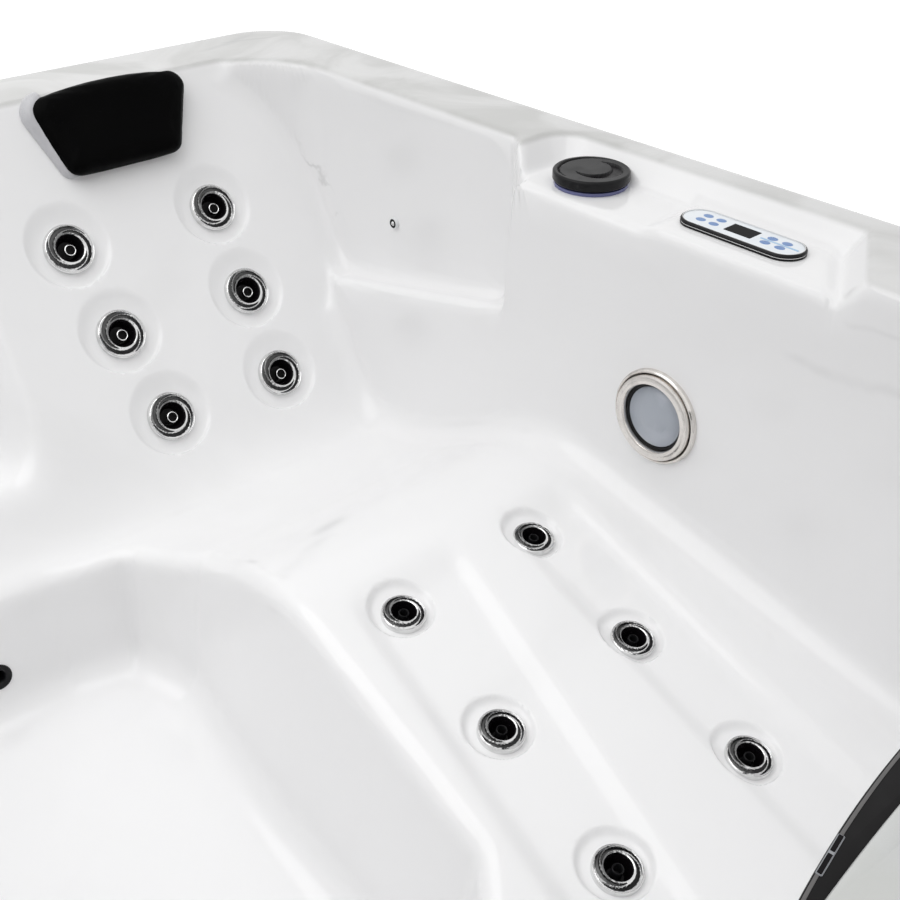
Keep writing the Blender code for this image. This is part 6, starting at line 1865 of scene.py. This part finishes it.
def add_catch(top):
    """Low catch in the front's top edge: a thin pale frame round two black slots, laid on it as
    painted shadow.
    """
    across = CATCH_ACROSS / SKIMMER_HALF
    y = front_line(across) - CATCH_INSET
    slope = -2 * SKIMMER_BOW * across / SKIMMER_HALF
    matrix = Matrix.Translation((SKIMMER_X + CATCH_ACROSS, y, top))
    matrix @= Matrix.Rotation(math.atan(slope), 4, "Z")
    frame_low = (CATCH_SLOTS[0][0] - CATCH_FRAME, -CATCH_WIDTH / 2 - CATCH_FRAME, -CATCH_SINK)
    frame_high = (CATCH_SLOTS[-1][1] + CATCH_FRAME, CATCH_WIDTH / 2 + CATCH_FRAME, CATCH_RISE)
    plate = soft_box("lid_catch", frame_low, frame_high, CATCH_RISE / 2)
    plate.transform(matrix)
    add_piece("lid_catch", plate, "grey_plastic")
    # Black pads on the frame paint the shadow inside its slots
    for number, (start, end) in enumerate(CATCH_SLOTS, 1):
        slot = soft_box(f"catch_slot_shadow_{number}", (start, -CATCH_WIDTH / 2, 0.0),
                        (end, CATCH_WIDTH / 2, CATCH_RISE + GAP), CATCH_RISE / 4)
        slot.transform(matrix)
        add_piece(f"catch_slot_shadow_{number}", slot, "black_plastic", finish="cup")


def add_front_highlight(top):
    """Thin paler strip along the basin side of the front's top edge, a painted highlight on that
    edge.
    """
    rings = []
    for index in range(SKIMMER_ARC_STEPS + 1):
        across = STRIP_REACH * (2 * index / SKIMMER_ARC_STEPS - 1)
        y = front_line(across) - FRONT_EDGE
        section = ((-STRIP_WIDTH, -GAP), (0, -GAP), (0, GAP), (-STRIP_WIDTH, GAP))
        rings.append([(SKIMMER_X + across * SKIMMER_HALF, y + dy, top + dz) for dy, dz in section])
    add_piece("front_strip", loft("front_strip", rings), "black_plastic", finish="strip")


def add_weir_flap():
    """Ribbed float flap in the skimmer's mouth."""
    low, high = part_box("skimmer_weir")
    half = MOUTH_WIDTH / 2 - WEIR_CLEARANCE
    middle = (low.y + high.y) / 2
    thick = WEIR_THICKNESS / 2
    rings = []
    for index in range(WEIR_RIBS * 4 + 1):
        share = index / (WEIR_RIBS * 4)
        x = SKIMMER_X + half * (2 * share - 1)
        inset = WEIR_RIB_DEPTH if index % 4 in (2, 3) else 0.0
        face = thick - inset
        rings.append([(x, middle - thick, low.z), (x, middle + face, low.z + inset),
                      (x, middle + face, high.z - inset), (x, middle - thick, high.z)])
    add_piece("weir_flap", loft("weir_flap", rings), "grey_plastic", "skimmer_weir",
              stands_for=("skimmer_weir",))
    pin = turned("weir_pivot", ((PIN_RADIUS, -half - PIN_REACH), (PIN_RADIUS, half + PIN_REACH)),
                 aim((SKIMMER_X, middle, WEIR_PIVOT_LEVEL), (1, 0, 0)), KEY_STEPS)
    add_piece("weir_pivot", pin, "steel", "skimmer_weir")


def add_filter_lid():
    """White deck lid with rounded edges, a finger hollow and raised grip ribs."""
    low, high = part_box("filter_lid")
    half = SKIMMER_HALF - LID_SIDE
    rings = []
    cut_edge = LID_EDGE * EDGE_CUT
    for inset, height in ((LID_EDGE / 3, low.z), (0.0, low.z + LID_EDGE / 3),
                          (0.0, high.z - LID_EDGE), (cut_edge, high.z - cut_edge),
                          (LID_EDGE, high.z)):
        plan = bowed_plan(low.y + inset, 0.0, LID_FRONT_LINE - inset, LID_FRONT_BOW, half - inset)
        rings.append([(px, py, height) for px, py in plan])
    slab = loft("deck_lid", rings)
    lid = add_piece("deck_lid", slab, "white_plastic", "filter_lid", "lid", ("filter_lid",))
    cut(lid, (SKIMMER_X - LID_HOLLOW, high.y - LID_HOLLOW / 2, high.z - LID_EDGE),
        (SKIMMER_X + LID_HOLLOW, high.y + OVERRUN, high.z + OVERRUN))
    for number in range(LID_RIBS):
        y = low.y + LID_RIB_START + number * LID_RIB_PITCH
        name = f"lid_rib_{number + 1}"
        reach = half * LID_RIB_REACH
        rib = soft_box(name, (SKIMMER_X - reach, y, high.z - GAP),
                       (SKIMMER_X + reach, y + LID_RIB_WIDTH, high.z + LID_RIB_RISE),
                       LID_RIB_ROUND)
        add_piece(name, rib, "white_plastic", "filter_lid")
    pin_half = half + PIN_REACH / 2
    place = (SKIMMER_X, low.y + LID_PIN_INSET, (low.z + high.z) / 2)
    hinge = turned("lid_hinge_pin", ((PIN_RADIUS, -pin_half), (PIN_RADIUS, pin_half)),
                   aim(place, (1, 0, 0)), KEY_STEPS)
    add_piece("lid_hinge_pin", hinge, "steel", "filter_lid")


# Cabinet

def corner_arc(radius, side):
    """Quarter circle at the head or the foot corner of the +X side, counter-clockwise."""
    centre = (CABINET_X - CORNER_RADIUS, side * (CABINET_Y - CORNER_RADIUS))
    start = 0.0 if side > 0 else -math.pi / 2
    points = []
    for step in range(CORNER_STEPS + 1):
        angle = start + math.pi / 2 * step / CORNER_STEPS
        points.append((centre[0] + radius * math.cos(angle), centre[1] + radius * math.sin(angle)))
    return points


def side_outline(inset):
    """Plan of the +X panel: its outer face drawn in by an inset, its inner face kept."""
    inner = CORNER_RADIUS - CABINET_WALL
    outer = CORNER_RADIUS - inset
    outline = [(PANEL_JOINT, inset - CABINET_Y)] + corner_arc(outer, -1)
    outline += corner_arc(outer, 1) + [(PANEL_JOINT, CABINET_Y - inset)]
    outline += [(PANEL_JOINT, CABINET_Y - CABINET_WALL)] + corner_arc(inner, 1)[::-1]
    return outline + corner_arc(inner, -1)[::-1] + [(PANEL_JOINT, CABINET_WALL - CABINET_Y)]


def end_outline(inset):
    """Plan of the head panel: its outer face drawn in by an inset."""
    span = PANEL_JOINT - GAP
    inner = CABINET_Y - CABINET_WALL
    return [(-span, inner), (span, inner), (span, CABINET_Y - inset), (-span, CABINET_Y - inset)]


def board_levels(low, high):
    """Levels and insets up a panel of boards with a groove between each two."""
    yield low, BOARD_EDGE
    yield low + BOARD_EDGE, 0.0
    pitch = (high - low) / BOARDS
    for number in range(1, BOARDS):
        middle = low + number * pitch
        yield middle - GROOVE_WIDTH, 0.0
        yield middle - GROOVE_WIDTH / 2, GROOVE_DEPTH
        yield middle + GROOVE_WIDTH / 2, GROOVE_DEPTH
        yield middle + GROOVE_WIDTH, 0.0
    yield high - BOARD_EDGE, 0.0
    yield high, BOARD_EDGE


def add_cabinet():
    """Four board-clad panels; the long ones wrap the corners."""
    for name, outline, turn in (("panel_control_side", side_outline, 0),
                                ("panel_left_side", side_outline, 2),
                                ("panel_head_end", end_outline, 0),
                                ("panel_foot_end", end_outline, 2)):
        low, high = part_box(name)
        rings = [[(px, py, level) for px, py in outline(inset)]
                 for level, inset in board_levels(low.z, high.z)]
        spin = Matrix.Rotation(turn * math.pi / 2, 4, "Z")
        mesh = loft(name.replace("panel", "boards"), rings, spin)
        boards = add_piece(mesh.name, mesh, "cabinet", stands_for=(name,))
        if name == "panel_foot_end":
            drill_drain(boards)
        add_panel_screws(name, turn)


def drill_drain(boards):
    """Hole in the foot panel for the drain's sleeve."""
    low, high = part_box("drain_sleeve")
    middle = (low + high) / 2
    place = aim((middle.x, -CABINET_Y, middle.z), (0, -1, 0))
    radius = DRAIN_RADIUS + GAP
    rod = turned("drill", ((radius, -CABINET_WALL * 2), (radius, CABINET_WALL)), place, KEY_STEPS)
    subtract(boards, linked("drill", rod))


def add_panel_screws(panel, turn):
    """Countersunk steel screws down both ends of a panel."""
    low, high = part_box(panel)
    levels = np.linspace(low.z + SCREW_INSET, high.z - SCREW_INSET * 2, SCREW_ROWS)
    along_side = "side" in panel
    span = CABINET_Y - CORNER_RADIUS - SCREW_INSET if along_side else PANEL_JOINT - SCREW_INSET
    out = Vector((1, 0, 0)) if along_side else Vector((0, 1, 0))
    face = CABINET_X if along_side else CABINET_Y
    spin = Matrix.Rotation(turn * math.pi / 2, 4, "Z")
    number = 0
    for side in (-1, 1):
        for level in levels:
            number += 1
            place = Vector((0, side * span, level) if along_side else (side * span, 0, level))
            name = f"{panel}_screw_{number}"
            matrix = spin @ aim(place + out * (face - SCREW_SINK), out)
            head = turned(name, SCREW_PROFILE, matrix, SCREW_STEPS)
            add_piece(name, head, "steel")


# Studio and camera

def seen_rays(nodes):
    """Above 0 for the rays that show the studio: to the camera, in gloss and through glass."""
    seen = nodes.node("LightPath", output="Is Camera Ray") + nodes.node("LightPath",
                                                                        output="Is Glossy Ray")
    return seen + nodes.node("LightPath", output="Is Transmission Ray")


def floor_finish():
    """White floor: full white to the camera and to gloss where it is lit, dim in shadow."""
    finish = Finish("floor_white", FLOOR_WHITE, FLOOR_ROUGH)
    lift = finish.ramp(seen_rays(finish), 0.0, 0.5)
    finish.set(**{"Emission Color": finish.mix(lift, (0, 0, 0, 1), (FLOOR_LIFT,) * 3 + (1,)),
                  "Emission Strength": 1.0})
    return finish.material


def add_studio():
    """Pale floor, a white world that lights from above, and one large soft lamp."""
    bpy.ops.mesh.primitive_plane_add(size=FLOOR_SIZE, location=(0, 0, -GAP))
    floor = bpy.context.object
    floor.name = "studio_floor"
    floor.data.materials.append(floor_finish())
    world = bpy.data.worlds.new("studio_world")
    bpy.context.scene.world = world
    sky = Nodes(world)
    share = sky.ramp(seen_rays(sky), 0.0, 0.5)
    toward = sky.node("TexCoord", output="Generated")
    rise = sky.math("MAXIMUM", sky.node("SeparateXYZ", {0: toward}, output="Z"), 0.0)
    light = SKY_HORIZON + SKY_RISE * rise * rise
    strength = light + (1.0 - light) * share
    background = sky.tree.nodes["Background"]
    background.inputs["Color"].default_value = (1, 1, 1, 1)
    sky.feed(background.inputs["Strength"], strength)
    for name, place, size, power in LAMPS:
        lamp = bpy.data.lights.new(name, "AREA")
        lamp.shape = "DISK"
        lamp.size = size
        lamp.energy = power
        holder = linked(name, lamp)
        holder.location = place
        holder.rotation_euler = (LAMP_AIM - Vector(place)).to_track_quat("-Z", "Y").to_euler()


def add_camera():
    """The photograph's view: from over the foot end, down towards the control side."""
    lens = bpy.data.cameras.new("photo_camera")
    lens.sensor_width = SENSOR_WIDTH
    lens.lens = FOCAL_LENGTH
    camera = linked("photo_camera", lens)
    camera.location = CAMERA_PLACE
    level = math.cos(CAMERA_PITCH)
    ahead = Vector((math.sin(CAMERA_TURN) * level, math.cos(CAMERA_TURN) * level,
                    -math.sin(CAMERA_PITCH)))
    camera.rotation_euler = ahead.to_track_quat("-Z", "Y").to_euler()
    bpy.context.scene.camera = camera
    bpy.context.scene.view_settings.view_transform = "Standard"


def corners(box):
    """Lowest and highest corner of a box as plain lists of numbers."""
    return [[float(value) for value in corner] for corner in box]


refinish_loaded_parts()
add_tub_skin()
add_jets()
add_diverter_knob()
add_control_panel()
add_light()
add_sensor()
add_return_fitting()
add_suction_cover()
add_pillow()
add_skimmer_front()
add_weir_flap()
add_filter_lid()
add_cabinet()
add_studio()
add_camera()
